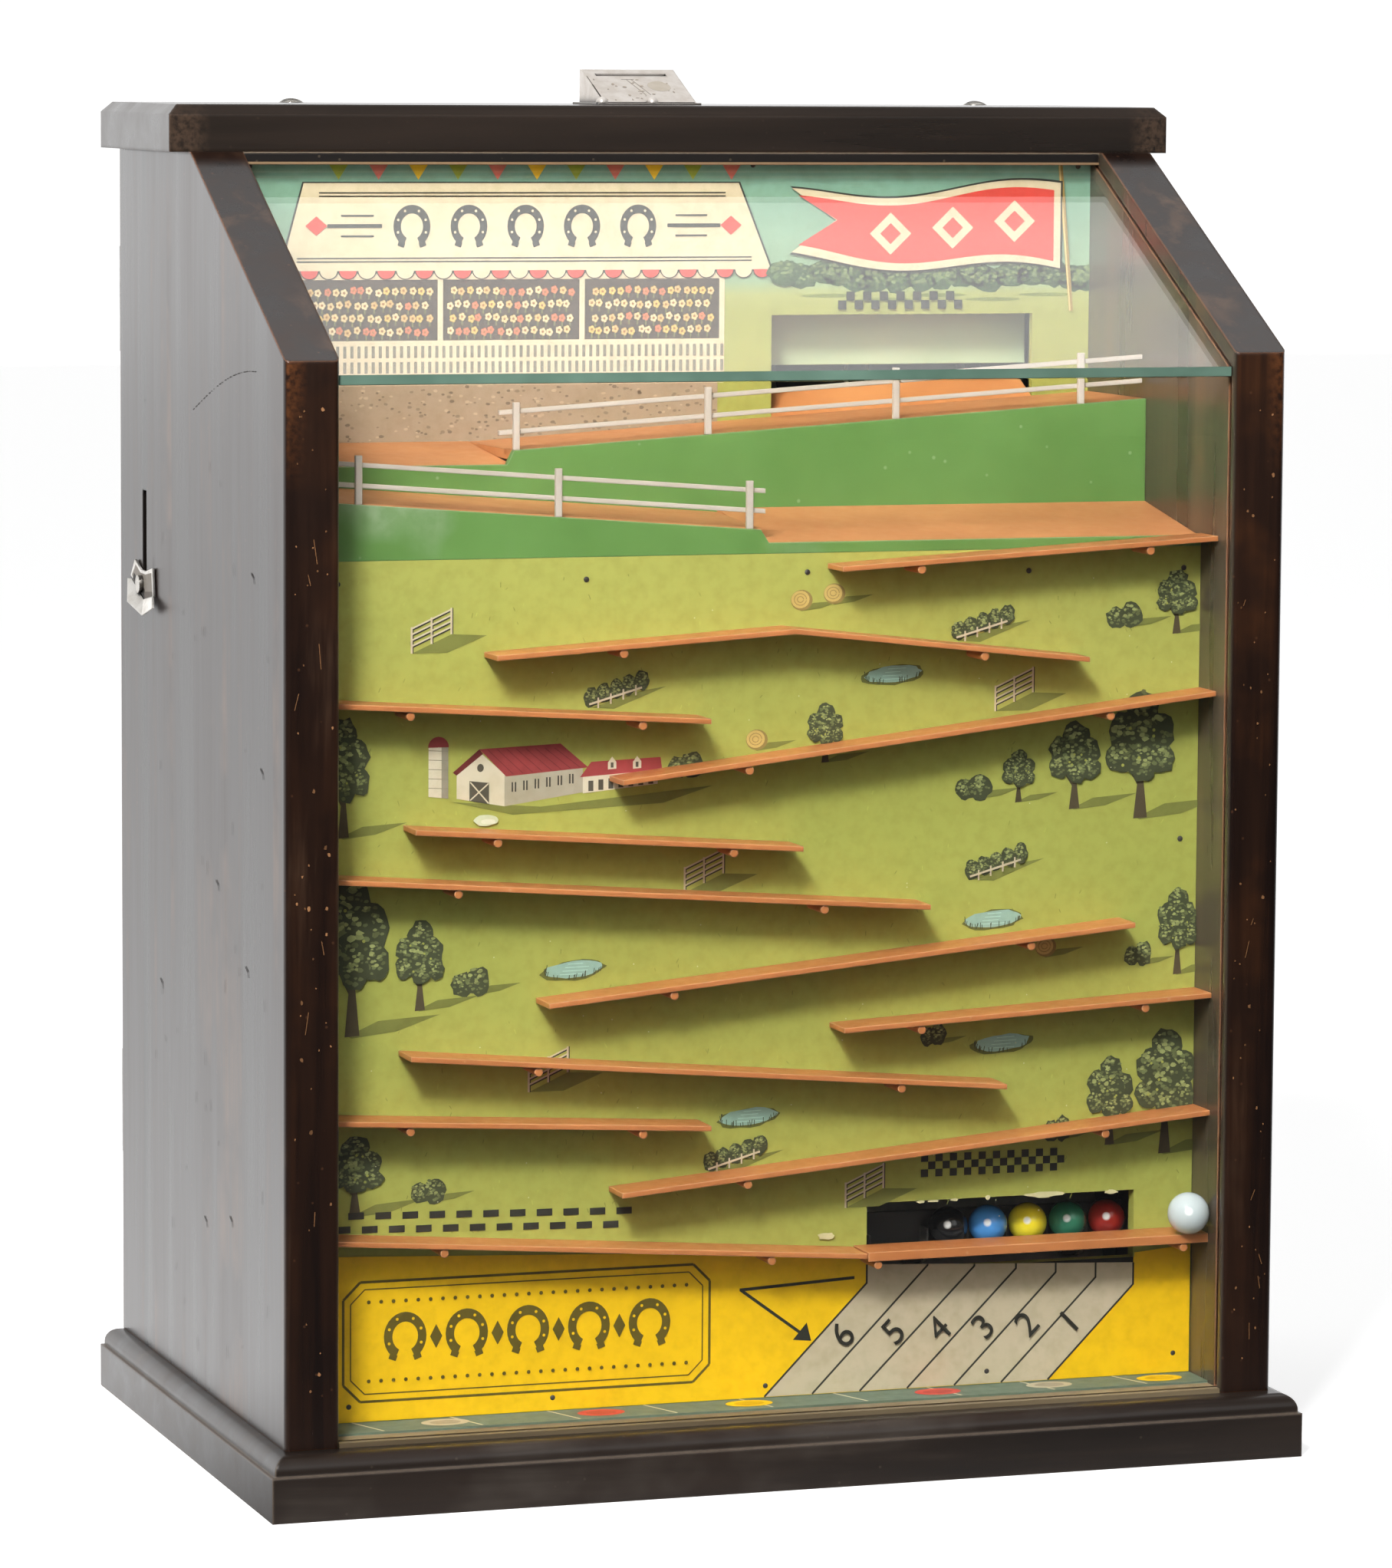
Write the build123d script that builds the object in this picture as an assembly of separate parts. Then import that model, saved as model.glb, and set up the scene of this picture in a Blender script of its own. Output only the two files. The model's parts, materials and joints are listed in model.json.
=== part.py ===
from build123d import *
import os
from math import atan2, cos, degrees, hypot, pi, radians, sin, sqrt, tan

# Counter-top marble racing cabinet: a glazed wooden case in which balls roll down a zigzag of rails.
# Millimetres.  X to the right, Y to the back, Z up; the origin is the centre of the base's underside.

# ---------------------------------------------------------------- driving dimensions: the wooden case
BASE_WIDTH = 375.0
BASE_DEPTH = 246.0
BASE_HEIGHT = 22.0
BASE_NOSE = 6.5            # rounded moulding along the base's top edge
BASE_QUIRK = 1.2           # little step below that moulding
CASE_WIDTH = 360.0         # over the two side boards
SIDE_THICK = 19.0
SIDE_DEPTH = 229.5
SIDE_FRONT_SET = 11.5      # side board's front edge behind the base's front
SIDE_HEIGHT = 433.6
KNEE_HEIGHT = 366.6        # where the front edge starts to lean back
SLOPE_RUN = 126.0          # depth covered by the leaning edge
SIDE_ROUND = 2.0
CAP_WIDTH = 374.0
CAP_THICK = 16.5
CAP_BEVEL = 3.5
CAP_SET = 2.0              # cap's front behind the top end of the slope
WOOD_GAP = 0.1             # joint clearance of boards set between the sides

# ---------------------------------------------------------------- glass
GLASS_THICK = 3.0
GLASS_SET = 3.5            # pane behind the front edges of the sides
GROOVE_DEPTH = 4.0
GROOVE_GAP = 0.15
PANE_TOP_BELOW_KNEE = 8.6
SILL_THICK = 1.6
SILL_DEPTH = 12.0
CARD_THICK = 2.4
TRIM_THICK = 2.2
TRIM_DEPTH = 9.0

# ---------------------------------------------------------------- playfield and picture board
FIELD_SET = 29.5           # playfield face behind the side boards' front edges
FIELD_THICK = 5.0
FIELD_HEIGHT = 297.6
PICTURE_SET = 108.0        # picture board's face behind the playfield's face
PICTURE_THICK = 3.0
PICTURE_FOOT = 322.0
WINDOW_WIDTH = 100.8       # both windows, one above the other
WINDOW_FROM_WALL = 22.2    # from the right side board
FINISH_SILL = 45.0
FINISH_HEAD = 69.2
START_SILL = 336.0
START_HEAD = 373.7
CLEAT_WIDTH = 6.0
CLEAT_DEPTH = 12.0
CLEAT_HEIGHT = 260.0

# ---------------------------------------------------------------- upper race track
DECK_THICK = 3.5
FASCIA_THICK = 3.0
UPPER_TRACK_FRONT = 52.0   # rear fascia's face behind the playfield's face
REAR_DECK_Z = 336.1        # rear track height over the base, at the middle of the case
REAR_DECK_RISE = 0.066     # climb per millimetre to the right
TURN_RIGHT_X = -76.0
TURN_BACK_Z = 331.2
TURN_DROP = 5.0
FRONT_TRACK_Z = 317.8      # front track height over the base, at the left wall
FRONT_TRACK_FALL = 0.0752
FRONT_TRACK_TILT = 0.055
FRONT_TRACK_END_X = -1.5
LANDING_BACK_Z = 310.0
LANDING_FRONT_Z = 301.3
RAMP_DEPTH = 17.0
RAMP_RISE = 8.5
RAMP_THICK = 1.0
POST_WIDTH = 2.3
POST_HEIGHT = 16.6
FENCE_WIRE = 1.6
FENCE_UPPER = 13.4
FENCE_LOWER = 6.4
FENCE_OVERHANG = 6.0
REAR_POSTS_FROM_WALL = (236.0, 165.6, 95.4, 25.0)    # left of the right wall
FRONT_POSTS_FROM_WALL = (14.6, 85.2, 154.1)         # right of the left wall
FRONT_RAIL_FROM_WALL = 3.0

# ---------------------------------------------------------------- zigzag rails
RAIL_THICK = 1.8
RAIL_DEPTH = 15.5
FINISH_RAIL_THICK = 3.2
PEG_RADIUS = 1.45
PEG_SHORT = 0.6            # peg end behind the rail's front edge
PEG_PLACES = (0.21, 0.82)  # share of a rail's run
FINISH_PEG_PLACES = (0.03, 0.93)

# ---------------------------------------------------------------- balls and lift
BALL_RADIUS = 7.05
WHITE_BALL_RADIUS = 7.5
POCKET_PITCH = 15.1
POCKET_COUNT = 6
FILLED_POCKETS = 5
TRAY_PAST_WINDOW = 3.8     # last pocket's end beyond the window's right end
TRAY_WIDTH = 101.6
TRAY_SHEET = 1.0
TRAY_DEPTH = 17.2
TRAY_LIP = 1.6
TRAY_BACK_HEIGHT = 12.0
DIVIDER_THICK = 0.8
DIVIDER_HEIGHT = 6.5
DIVIDER_FRONT_SET = 3.0
TRAY_TO_FIELD = 1.5        # tray's lip behind the playfield's rear face
TRAY_FLOOR_Z = 49.4        # tray floor over the base, at the finish
START_FLOOR_Z = 356.6      # tray floor over the base, at the start
START_GAP = 9.0            # tray's lip behind the start ramp's upper edge
TRAY_TIP = 9.0             # degrees that the tray tips forward on its way up
TRAY_PIN_RADIUS = 1.2
TRAY_KNUCKLE_RADIUS = 2.2
TRAY_PIN_DROP = 3.0        # pin's axis below the tray floor's underside
TRAY_PIN_IN = 2.6          # pin's axis in front of the tray's back
TRAY_KNUCKLE_SET = 18.0    # hinge knuckles from the tray's two ends
KNUCKLE_LENGTH = 6.0
CAR_PLATE = 2.0
CAR_PLATE_SET = 12.0       # car plate behind the line of ball centres
CAR_WIDTH = 88.0
CAR_BELOW = 12.0
CAR_ABOVE = 14.0
ROD_RADIUS = 3.0
ROD_SET = 17.5             # rods and cord behind the line of ball centres
ROD_SPACING = 76.0
ROD_FOOT = 31.0            # rod below the rest position, along the slope
ROD_HEAD = 39.0
CAR_BUSH_RADIUS = 5.0
CAR_BUSH_LENGTH = 24.0
RUN_GAP = 0.05             # radial running clearance
FOOT_BLOCK_WIDTH = 18.0
FOOT_BLOCK_DEPTH = 20.0
HEADER_DEPTH = 19.0
HEADER_HEIGHT = 16.0

# ---------------------------------------------------------------- drive
HANDLE_SWING = 85.0
HANDLE_FROM_BACK = 68.0
HANDLE_Z = 168.0           # over the base
HANDLE_SHAFT_RADIUS = 4.0
HANDLE_STAND_OFF = 16.0    # shaft end outside the right side board
ARM_REACH = 80.0
ARM_THICK = 5.0
ARM_HUB_RADIUS = 9.0
ARM_TIP_RADIUS = 6.0
KNOB_RADIUS = 12.5
KNOB_NECK_RADIUS = 6.0
KNOB_NECK = 5.0
GEAR_MODULE = 1.0
SECTOR_TEETH = 90          # on the full circle that the sector belongs to
PINION_TEETH = 15
GEAR_THICK = 3.0
SECTOR_MARGIN = 8.0        # degrees of teeth beyond the swing at each end
SECTOR_HUB_RADIUS = 8.0
DRIVE_SHAFT_RADIUS = 3.0
CORD_RADIUS = 0.8
PULLEY_WIDTH = 8.0
PULLEY_RIM = 2.2           # flange above the cord's centre line
PULLEY_GROOVE_GAP = 0.15
IDLER_CORD_RADIUS = 7.0
IDLER_BORE = 1.5
IDLER_WIDTH = 7.0
LOWER_IDLER_BELOW = 30.0
UPPER_IDLER_ABOVE = 19.0
EAR_THICK = 1.5
EAR_GAP = 1.0
PLATE_THICK = 2.0
PLATE_WIDTH = 32.0
PLATE_LEFT_SET = 12.0      # bearing plate's left face, left of the cord
PLATE_RIGHT_SET = 22.0     # the other's left face, right of the cord
PLATE_OVER_SHAFT = 15.0
PLATE_FOOT = 14.0
GEAR_SET = 13.0            # gears' left face, right of the cord
BUSH_WALL = 2.0
BUSH_FLANGE = 1.5

# ---------------------------------------------------------------- start gate and its lever
GATE_THICK = 1.0
GATE_HEIGHT = 27.0
GATE_SET = 0.6             # gate behind the start ramp's upper edge
GATE_OVERLAP = 2.0         # gate wider than the window on each side
GATE_FOOT_Z = 354.8
GATE_LIFT = 30.5
CROSS_BAR_HEIGHT = 10.0
SLIDE_THICK = 1.5
SLIDE_GAP = 0.3
SLIDE_DEPTH = 24.0
SLIDE_FOOT_HEIGHT = 34.0
SLIDE_PAST_STEM = 8.0
LEVER_FROM_BACK = 36.0
LEVER_REST_Z = 278.0
SLOT_WIDTH = 5.5
LEVER_STEM_RADIUS = 2.2
SLOT_SPARE = 1.0
GUIDE_SCREW_RADIUS = 2.3
GUIDE_HEAD_RADIUS = 4.5
GUIDE_HEAD_THICK = 1.6
GUIDE_SLOT_SPARE = 1.0
GUIDE_SCREWS_Z = (300.0, 352.0)
GRIP_SHEET = 0.9
GRIP_SCREW_RADIUS = 3.2
# Corners of the finger grip, each measured back from the stem's middle and up from it.
GRIP_FRONT_FOLD = (-17.0, -3.5)
GRIP_TIP_FOLD = (-4.3, -5.2)
GRIP_REAR_FOLD = (13.5, 0.9)
GRIP_UPPER_EDGE = ((16.5, 2.0), (10.2, 8.1), (1.6, 5.0), (-5.7, 4.9), (-15.8, 6.8))
GRIP_SKIRT = (-3.8, -0.6, -4.2)    # how the rear skirt runs out from its fold

# ---------------------------------------------------------------- coin head, chute and cash box
COIN_HEAD_WIDTH = 35.3
COIN_HEAD_DEPTH = 28.6
COIN_HEAD_HEIGHT = 11.8
COIN_HEAD_LEFT_X = -18.0
COIN_HEAD_FROM_BACK = 68.0 # head's front edge from the case's back
COIN_SLOT_WIDTH = 27.0
COIN_SLOT_GAP = 2.0
COIN_SLOT_FROM_BACK = 5.8
COIN_FLANGE = 0.8
COIN_FLANGE_OUT = 2.6
COIN_SCREW_RADIUS = 2.2
COIN_SCREW_SET = 0.5       # screws in front of the head's foot
COIN_SCREW_PLACES = (-0.02, 0.52)
CHUTE_WALL = 0.8
CHUTE_GAP = 3.4
CHUTE_LENGTH = 355.0
CHUTE_FLANGE_SIDE = 8.0
CHUTE_FLANGE_DEEP = 5.0
CASH_BOX_WIDTH = 92.0
CASH_BOX_DEPTH = 50.0
CASH_BOX_HEIGHT = 46.0
CASH_BOX_WALL = 1.0

# ---------------------------------------------------------------- rear door
DOOR_THICK = 12.0
DOOR_GAP = 0.6
RAIL_BOARD_DEPTH = 19.0
LOWER_RAIL_HEIGHT = 13.6
UPPER_RAIL_HEIGHT = 19.5
BATTEN_WIDTH = 12.0
BATTEN_THICK = 1.8
HINGE_LENGTH = 38.0
HINGE_LEAF = 1.2
HINGE_LEAF_WIDTH = 16.0
HINGE_KNUCKLE_RADIUS = 2.6
HINGE_PIN_RADIUS = 1.2
HINGES_Z = (66.0, 360.0)
LOCK_FROM_WALL = 21.0
LOCK_Z = 218.0
LOCK_RADIUS = 7.9
LOCK_FLANGE_RADIUS = 9.5
LOCK_FLANGE = 2.0
LOCK_PLUG_RADIUS = 4.5
CAM_LENGTH = 15.0
CAM_WIDTH = 9.0
CAM_THICK = 2.0
CAP_SCREWS_X = (-118.0, 148.0)
CAP_SCREW_RADIUS = 4.6
CAP_SCREW_DOME = 1.6
CAP_SCREW_FROM_BACK = 8.0

# ---------------------------------------------------------------- places worked out from the sizes
BASE_TOP = BASE_HEIGHT
SIDE_FRONT = -BASE_DEPTH / 2 + SIDE_FRONT_SET
SIDE_BACK = SIDE_FRONT + SIDE_DEPTH
SIDE_TOP = BASE_TOP + SIDE_HEIGHT
KNEE_Z = BASE_TOP + KNEE_HEIGHT
SLOPE_TOP_Y = SIDE_FRONT + SLOPE_RUN
SLOPE = (SIDE_TOP - KNEE_Z) / SLOPE_RUN
OUTER_X = CASE_WIDTH / 2
WALL_X = OUTER_X - SIDE_THICK
FIT_X = WALL_X - WOOD_GAP
GLASS_X = WALL_X + GROOVE_DEPTH - GROOVE_GAP
GLASS_FRONT = SIDE_FRONT + GLASS_SET
GLASS_BACK = GLASS_FRONT + GLASS_THICK
PANE_TOP = KNEE_Z - PANE_TOP_BELOW_KNEE
FIELD_FRONT = SIDE_FRONT + FIELD_SET
FIELD_BACK = FIELD_FRONT + FIELD_THICK
FIELD_TOP = BASE_TOP + FIELD_HEIGHT
PICTURE_FRONT = FIELD_FRONT + PICTURE_SET
PICTURE_BACK = PICTURE_FRONT + PICTURE_THICK
REAR_FASCIA_FRONT = FIELD_FRONT + UPPER_TRACK_FRONT
RAMP_EDGE_Y = PICTURE_FRONT + RAMP_DEPTH
RAIL_FRONT = FIELD_FRONT - RAIL_DEPTH
DOOR_FRONT = SIDE_BACK - DOOR_THICK
CAP_FRONT = SLOPE_TOP_Y + CAP_SET
WINDOW_RIGHT = WALL_X - WINDOW_FROM_WALL
WINDOW_LEFT = WINDOW_RIGHT - WINDOW_WIDTH
LOCK_X = WALL_X - LOCK_FROM_WALL

POCKET_RIGHT_X = WINDOW_RIGHT + TRAY_PAST_WINDOW
TRAY_RIGHT_X = POCKET_RIGHT_X + TRAY_SHEET
TRAY_LEFT_X = TRAY_RIGHT_X - TRAY_WIDTH
TRAY_KNUCKLES_X = (TRAY_LEFT_X + TRAY_KNUCKLE_SET, TRAY_RIGHT_X - TRAY_KNUCKLE_SET - KNUCKLE_LENGTH)
CORD_X = (TRAY_LEFT_X + TRAY_RIGHT_X) / 2
CAR_LEFT_X = CORD_X - CAR_WIDTH / 2
CAR_RIGHT_X = CORD_X + CAR_WIDTH / 2
RODS_X = (CORD_X - ROD_SPACING / 2, CORD_X + ROD_SPACING / 2)
TRAY_FRONT = FIELD_BACK + TRAY_TO_FIELD
TRAY_BACK = TRAY_FRONT + TRAY_DEPTH
TRAY_FLOOR = BASE_TOP + TRAY_FLOOR_Z
BALL_Y = TRAY_BACK - RUN_GAP - BALL_RADIUS
BALL_Z = TRAY_FLOOR + BALL_RADIUS
LIFT_Y = RAMP_EDGE_Y + START_GAP - TRAY_FRONT
LIFT_Z = START_FLOOR_Z - TRAY_FLOOR_Z
LIFT_TRAVEL = hypot(LIFT_Y, LIFT_Z)
UP_Y = LIFT_Y / LIFT_TRAVEL
UP_Z = LIFT_Z / LIFT_TRAVEL
TRAY_PIN_Y = TRAY_BACK - TRAY_PIN_IN
TRAY_PIN_Z = TRAY_FLOOR - TRAY_SHEET - TRAY_PIN_DROP

HANDLE_Y = SIDE_BACK - HANDLE_FROM_BACK
PLATES_X = (CORD_X - PLATE_LEFT_SET, CORD_X + PLATE_RIGHT_SET)
GEAR_X = CORD_X + GEAR_SET
SECTOR_RADIUS = GEAR_MODULE * SECTOR_TEETH / 2
PINION_RADIUS = GEAR_MODULE * PINION_TEETH / 2
GEAR_RATIO = SECTOR_TEETH / PINION_TEETH
HANDLE_AXIS_Z = BASE_TOP + HANDLE_Z
DRIVE_Y = HANDLE_Y
DRIVE_Z = HANDLE_AXIS_Z - SECTOR_RADIUS - PINION_RADIUS
PULLEY_CORD_RADIUS = LIFT_TRAVEL / (GEAR_RATIO * radians(HANDLE_SWING))

REAR_POSTS_X = [WALL_X - out for out in REAR_POSTS_FROM_WALL]
FRONT_POSTS_X = [out - WALL_X for out in FRONT_POSTS_FROM_WALL]
FRONT_RAIL_LEFT_X = FRONT_RAIL_FROM_WALL - WALL_X

GATE_FRONT = RAMP_EDGE_Y + GATE_SET
GATE_BACK = GATE_FRONT + GATE_THICK
GATE_FOOT = BASE_TOP + GATE_FOOT_Z
LEVER_Y = SIDE_BACK - LEVER_FROM_BACK
LEVER_Z = BASE_TOP + LEVER_REST_Z
SLIDE_OUT_X = WALL_X - SLIDE_GAP
SLIDE_IN_X = SLIDE_OUT_X - SLIDE_THICK
SLIDE_BACK = GATE_FRONT + SLIDE_DEPTH

COIN_HEAD_FRONT_Y = SIDE_BACK - COIN_HEAD_FROM_BACK
COIN_SLOT_X = COIN_HEAD_LEFT_X + COIN_HEAD_WIDTH / 2
COIN_SLOT_Y = COIN_HEAD_FRONT_Y + COIN_HEAD_DEPTH - COIN_SLOT_FROM_BACK
CAP_TOP = SIDE_TOP + CAP_THICK
HINGE_Y = SIDE_BACK + HINGE_KNUCKLE_RADIUS + 0.2
HINGE_X = -WALL_X + DOOR_GAP / 2

# The rails zigzag down the playfield.  Each has its turning points from left to right: the place
# across the case and the height over the base.  A rail that meets a side board ends at its face.
LEFT = -FIT_X
RIGHT = FIT_X
LEFT_RAILS = [
    [(LEFT, 250.3), (-25.8, 241.7)],
    [(LEFT, 190.9), (55.0, 174.9)],
    [(LEFT, 108.6), (-24.8, 100.9)],
    [(LEFT, 67.6), (32.6, 53.3)],
]
RIGHT_RAILS = [
    [(21.5, 293.0), (RIGHT, 301.2)],
    [(-57.4, 221.5), (RIGHT, 246.7)],
    [(23.5, 132.9), (RIGHT, 139.9)],
    [(-56.9, 79.0), (RIGHT, 98.1)],
]
MIDDLE_RAILS = [
    [(-130.8, 206.7), (8.0, 196.7)],
    [(-83.4, 145.7), (131.6, 165.9)],
    [(-132.4, 129.5), (84.1, 110.7)],
]
PEAKED_RAIL = [(-102.3, 265.1), (4.6, 271.9), (113.2, 259.8)]
FINISH_RAIL = [(33.2, 53.0), (RIGHT, 53.4)]


# ---------------------------------------------------------------- small helpers
def block(x0, x1, y0, y1, z0, z1):
    """A box between two corners."""
    return Pos((x0 + x1) / 2, (y0 + y1) / 2, (z0 + z1) / 2) * Box(x1 - x0, y1 - y0, z1 - z0)


def across(points, x0, x1):
    """An outline of (y, z) points, drawn out along X."""
    wires = [(x0, y, z) for y, z in points]
    return extrude(make_face(Polyline(*wires, close=True)), amount=x1 - x0, dir=(1, 0, 0))


def deep(points, y0, y1):
    """An outline of (x, z) points, drawn out along Y."""
    wires = [(x, y0, z) for x, z in points]
    return extrude(make_face(Polyline(*wires, close=True)), amount=y1 - y0, dir=(0, 1, 0))


def sheet(points, thick):
    """A flat panel with its top through (x, y, z) points, thick measured straight down."""
    return extrude(make_face(Polyline(*points, close=True)), amount=thick, dir=(0, 0, -1))


def rod_x(y, z, radius, x0, x1):
    """A round bar along X."""
    return Pos((x0 + x1) / 2, y, z) * Rot(0, 90, 0) * Cylinder(radius, x1 - x0)


def rod_y(x, z, radius, y0, y1):
    """A round bar along Y."""
    return Pos(x, (y0 + y1) / 2, z) * Rot(90, 0, 0) * Cylinder(radius, y1 - y0)


def rod_z(x, y, radius, z0, z1):
    """An upright round bar."""
    return Pos(x, y, (z0 + z1) / 2) * Cylinder(radius, z1 - z0)


def lift_point(set_back, along):
    """A (y, z) point behind the line of ball centres, and that far up the lift's slope."""
    return (BALL_Y + set_back * UP_Z + along * UP_Y, BALL_Z - set_back * UP_Y + along * UP_Z)


def lift_rod(x, set_back, radius, start, end):
    """A round bar along the lift's slope."""
    y, z = lift_point(set_back, (start + end) / 2)
    lean = degrees(atan2(UP_Y, UP_Z))
    return Pos(x, y, z) * Rot(-lean, 0, 0) * Cylinder(radius, end - start)


def lift_block(x0, x1, set0, set1, start, end):
    """A block square to the lift's slope."""
    corners = [lift_point(set0, start), lift_point(set1, start), lift_point(set1, end), lift_point(set0, end)]
    return across(corners, x0, x1)


def rear_deck_z(x):
    """Height of the rear track's surface."""
    return BASE_TOP + REAR_DECK_Z + REAR_DECK_RISE * x


def front_track_z(x, y):
    """Height of the front track's surface."""
    fall = FRONT_TRACK_FALL * (x + WALL_X)
    return BASE_TOP + FRONT_TRACK_Z - fall + FRONT_TRACK_TILT * (y - FIELD_FRONT)


# ---------------------------------------------------------------- case
def base_board():
    w = BASE_WIDTH / 2
    d = BASE_DEPTH / 2
    step_z = BASE_TOP - BASE_NOSE
    slab = block(-w, w, -d, d, 0, step_z)
    crown = block(-w + BASE_QUIRK, w - BASE_QUIRK, -d + BASE_QUIRK, d - BASE_QUIRK, step_z, BASE_TOP)
    crown = fillet(crown.edges().group_by(Axis.Z)[-1], BASE_NOSE - BASE_QUIRK)
    return slab + crown


def side_outline():
    return [(SIDE_FRONT, BASE_TOP), (SIDE_FRONT, KNEE_Z), (SLOPE_TOP_Y, SIDE_TOP), (SIDE_BACK, SIDE_TOP),
            (SIDE_BACK, BASE_TOP)]


def pane_line(y, offset):
    """Height of a line parallel to the leaning edge, offset from the upper pane's underside."""
    return PANE_TOP + 0.3 + offset + SLOPE * (y - GLASS_FRONT)


def upper_pane_outline(gap):
    """The leaning pane seen from the side, grown by a gap for its groove."""
    rise = GLASS_THICK * sqrt(1 + SLOPE**2)
    lean_end = CAP_FRONT + TRIM_DEPTH
    low = GLASS_FRONT - gap
    return [(low, pane_line(low, -gap)), (lean_end + gap, pane_line(lean_end + gap, -gap)),
            (lean_end + gap, pane_line(lean_end + gap, rise + gap)), (low, pane_line(low, rise + gap))]


def side_board(hand):
    inner = hand * WALL_X
    outer = hand * OUTER_X
    board = across(side_outline(), *sorted((inner, outer)))
    front_edges = board.edges().filter_by_position(Axis.Y, SIDE_FRONT - 1, SIDE_FRONT + 1).filter_by(Axis.Z)
    board = fillet(front_edges, SIDE_ROUND)
    deep_x = hand * (WALL_X + GROOVE_DEPTH)
    x0, x1 = sorted((inner, deep_x))
    front = [(GLASS_FRONT - GROOVE_GAP, BASE_TOP + SILL_THICK), (GLASS_BACK + GROOVE_GAP, BASE_TOP + SILL_THICK),
             (GLASS_BACK + GROOVE_GAP, PANE_TOP + 0.2), (GLASS_FRONT - GROOVE_GAP, PANE_TOP + 0.2)]
    board -= across(front, x0, x1)
    board -= across(upper_pane_outline(GROOVE_GAP), x0, x1)
    return board


def left_side():
    top = LEVER_Z + GATE_LIFT + LEVER_STEM_RADIUS + SLOT_SPARE
    foot = LEVER_Z - LEVER_STEM_RADIUS - SLOT_SPARE
    half = SLOT_WIDTH / 2
    slot = block(-OUTER_X - 1, -WALL_X + 1, LEVER_Y - half, LEVER_Y + half, foot, top)
    return side_board(-1) - slot


def right_side():
    bore = HANDLE_SHAFT_RADIUS + BUSH_WALL + RUN_GAP
    return side_board(1) - rod_x(HANDLE_Y, HANDLE_AXIS_Z, bore, WALL_X - 1, OUTER_X + 1)


def cap_board():
    half = CAP_WIDTH / 2
    board = block(-half, half, CAP_FRONT, SIDE_BACK, SIDE_TOP, CAP_TOP)
    board = chamfer(board.edges().group_by(Axis.Z)[-1], CAP_BEVEL)
    reach = COIN_SLOT_WIDTH / 2 + 0.5
    gap = CHUTE_GAP / 2
    slot = block(COIN_SLOT_X - reach, COIN_SLOT_X + reach, COIN_SLOT_Y - gap, COIN_SLOT_Y + gap,
                 SIDE_TOP - 1, CAP_TOP + 1)
    return board - slot


def rear_frame():
    front = SIDE_BACK - RAIL_BOARD_DEPTH
    low = block(-FIT_X, FIT_X, front, SIDE_BACK, BASE_TOP, BASE_TOP + LOWER_RAIL_HEIGHT)
    high = block(-FIT_X, FIT_X, front, SIDE_BACK, SIDE_TOP - UPPER_RAIL_HEIGHT, SIDE_TOP)
    batten_front = DOOR_FRONT - 0.3 - BATTEN_THICK
    batten_top = header_foot() - 5
    batten = block(WALL_X - BATTEN_WIDTH, FIT_X, batten_front, DOOR_FRONT - 0.3,
                   BASE_TOP + LOWER_RAIL_HEIGHT, batten_top)
    return Compound([low, high, batten])


# ---------------------------------------------------------------- glass, sill and cards
def front_glass():
    return block(-GLASS_X, GLASS_X, GLASS_FRONT, GLASS_BACK, BASE_TOP + SILL_THICK, PANE_TOP)


def upper_glass():
    return across(upper_pane_outline(0), -GLASS_X, GLASS_X)


def glass_trim():
    """Thin lath under the cap's front edge, in front of the leaning pane's top end."""
    back = CAP_FRONT + TRIM_THICK
    foot = pane_line(back, GLASS_THICK * sqrt(1 + SLOPE**2)) + 0.1
    return block(-FIT_X, FIT_X, CAP_FRONT, back, foot, SIDE_TOP)


def sill_strip():
    """Lath on the base that the upright pane stands on."""
    return block(-FIT_X, FIT_X, SIDE_FRONT + 0.5, SIDE_FRONT + 0.5 + SILL_DEPTH, BASE_TOP, BASE_TOP + SILL_THICK)


def floor_card():
    front = SIDE_FRONT + 0.5 + SILL_DEPTH
    return block(-FIT_X, FIT_X, front, FIELD_FRONT, BASE_TOP, BASE_TOP + CARD_THICK)


# ---------------------------------------------------------------- boards
def playfield_board():
    board = block(-FIT_X, FIT_X, FIELD_FRONT, FIELD_BACK, BASE_TOP, FIELD_TOP)
    window = block(WINDOW_LEFT, WINDOW_RIGHT, FIELD_FRONT - 1, FIELD_BACK + 1,
                   BASE_TOP + FINISH_SILL, BASE_TOP + FINISH_HEAD)
    return board - window


def board_cleats():
    """Upright battens on the side boards that the playfield is nailed to."""
    cleats = []
    for hand in (-1, 1):
        x0, x1 = sorted((hand * FIT_X, hand * (FIT_X - CLEAT_WIDTH)))
        cleats.append(block(x0, x1, FIELD_BACK, FIELD_BACK + CLEAT_DEPTH, BASE_TOP, BASE_TOP + CLEAT_HEIGHT))
    return Compound(cleats)


def picture_board():
    board = block(-FIT_X, FIT_X, PICTURE_FRONT, PICTURE_BACK, BASE_TOP + PICTURE_FOOT, SIDE_TOP)
    window = block(WINDOW_LEFT, WINDOW_RIGHT, PICTURE_FRONT - 1, PICTURE_BACK + 1,
                   BASE_TOP + START_SILL, BASE_TOP + START_HEAD)
    return board - window


# ---------------------------------------------------------------- upper race track
def rear_deck():
    front = REAR_FASCIA_FRONT + FASCIA_THICK
    left = TURN_RIGHT_X + 0.05
    top = [(left, front), (FIT_X, front), (FIT_X, PICTURE_FRONT), (left, PICTURE_FRONT)]
    return sheet([(x, y, rear_deck_z(x)) for x, y in top], DECK_THICK)


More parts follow.
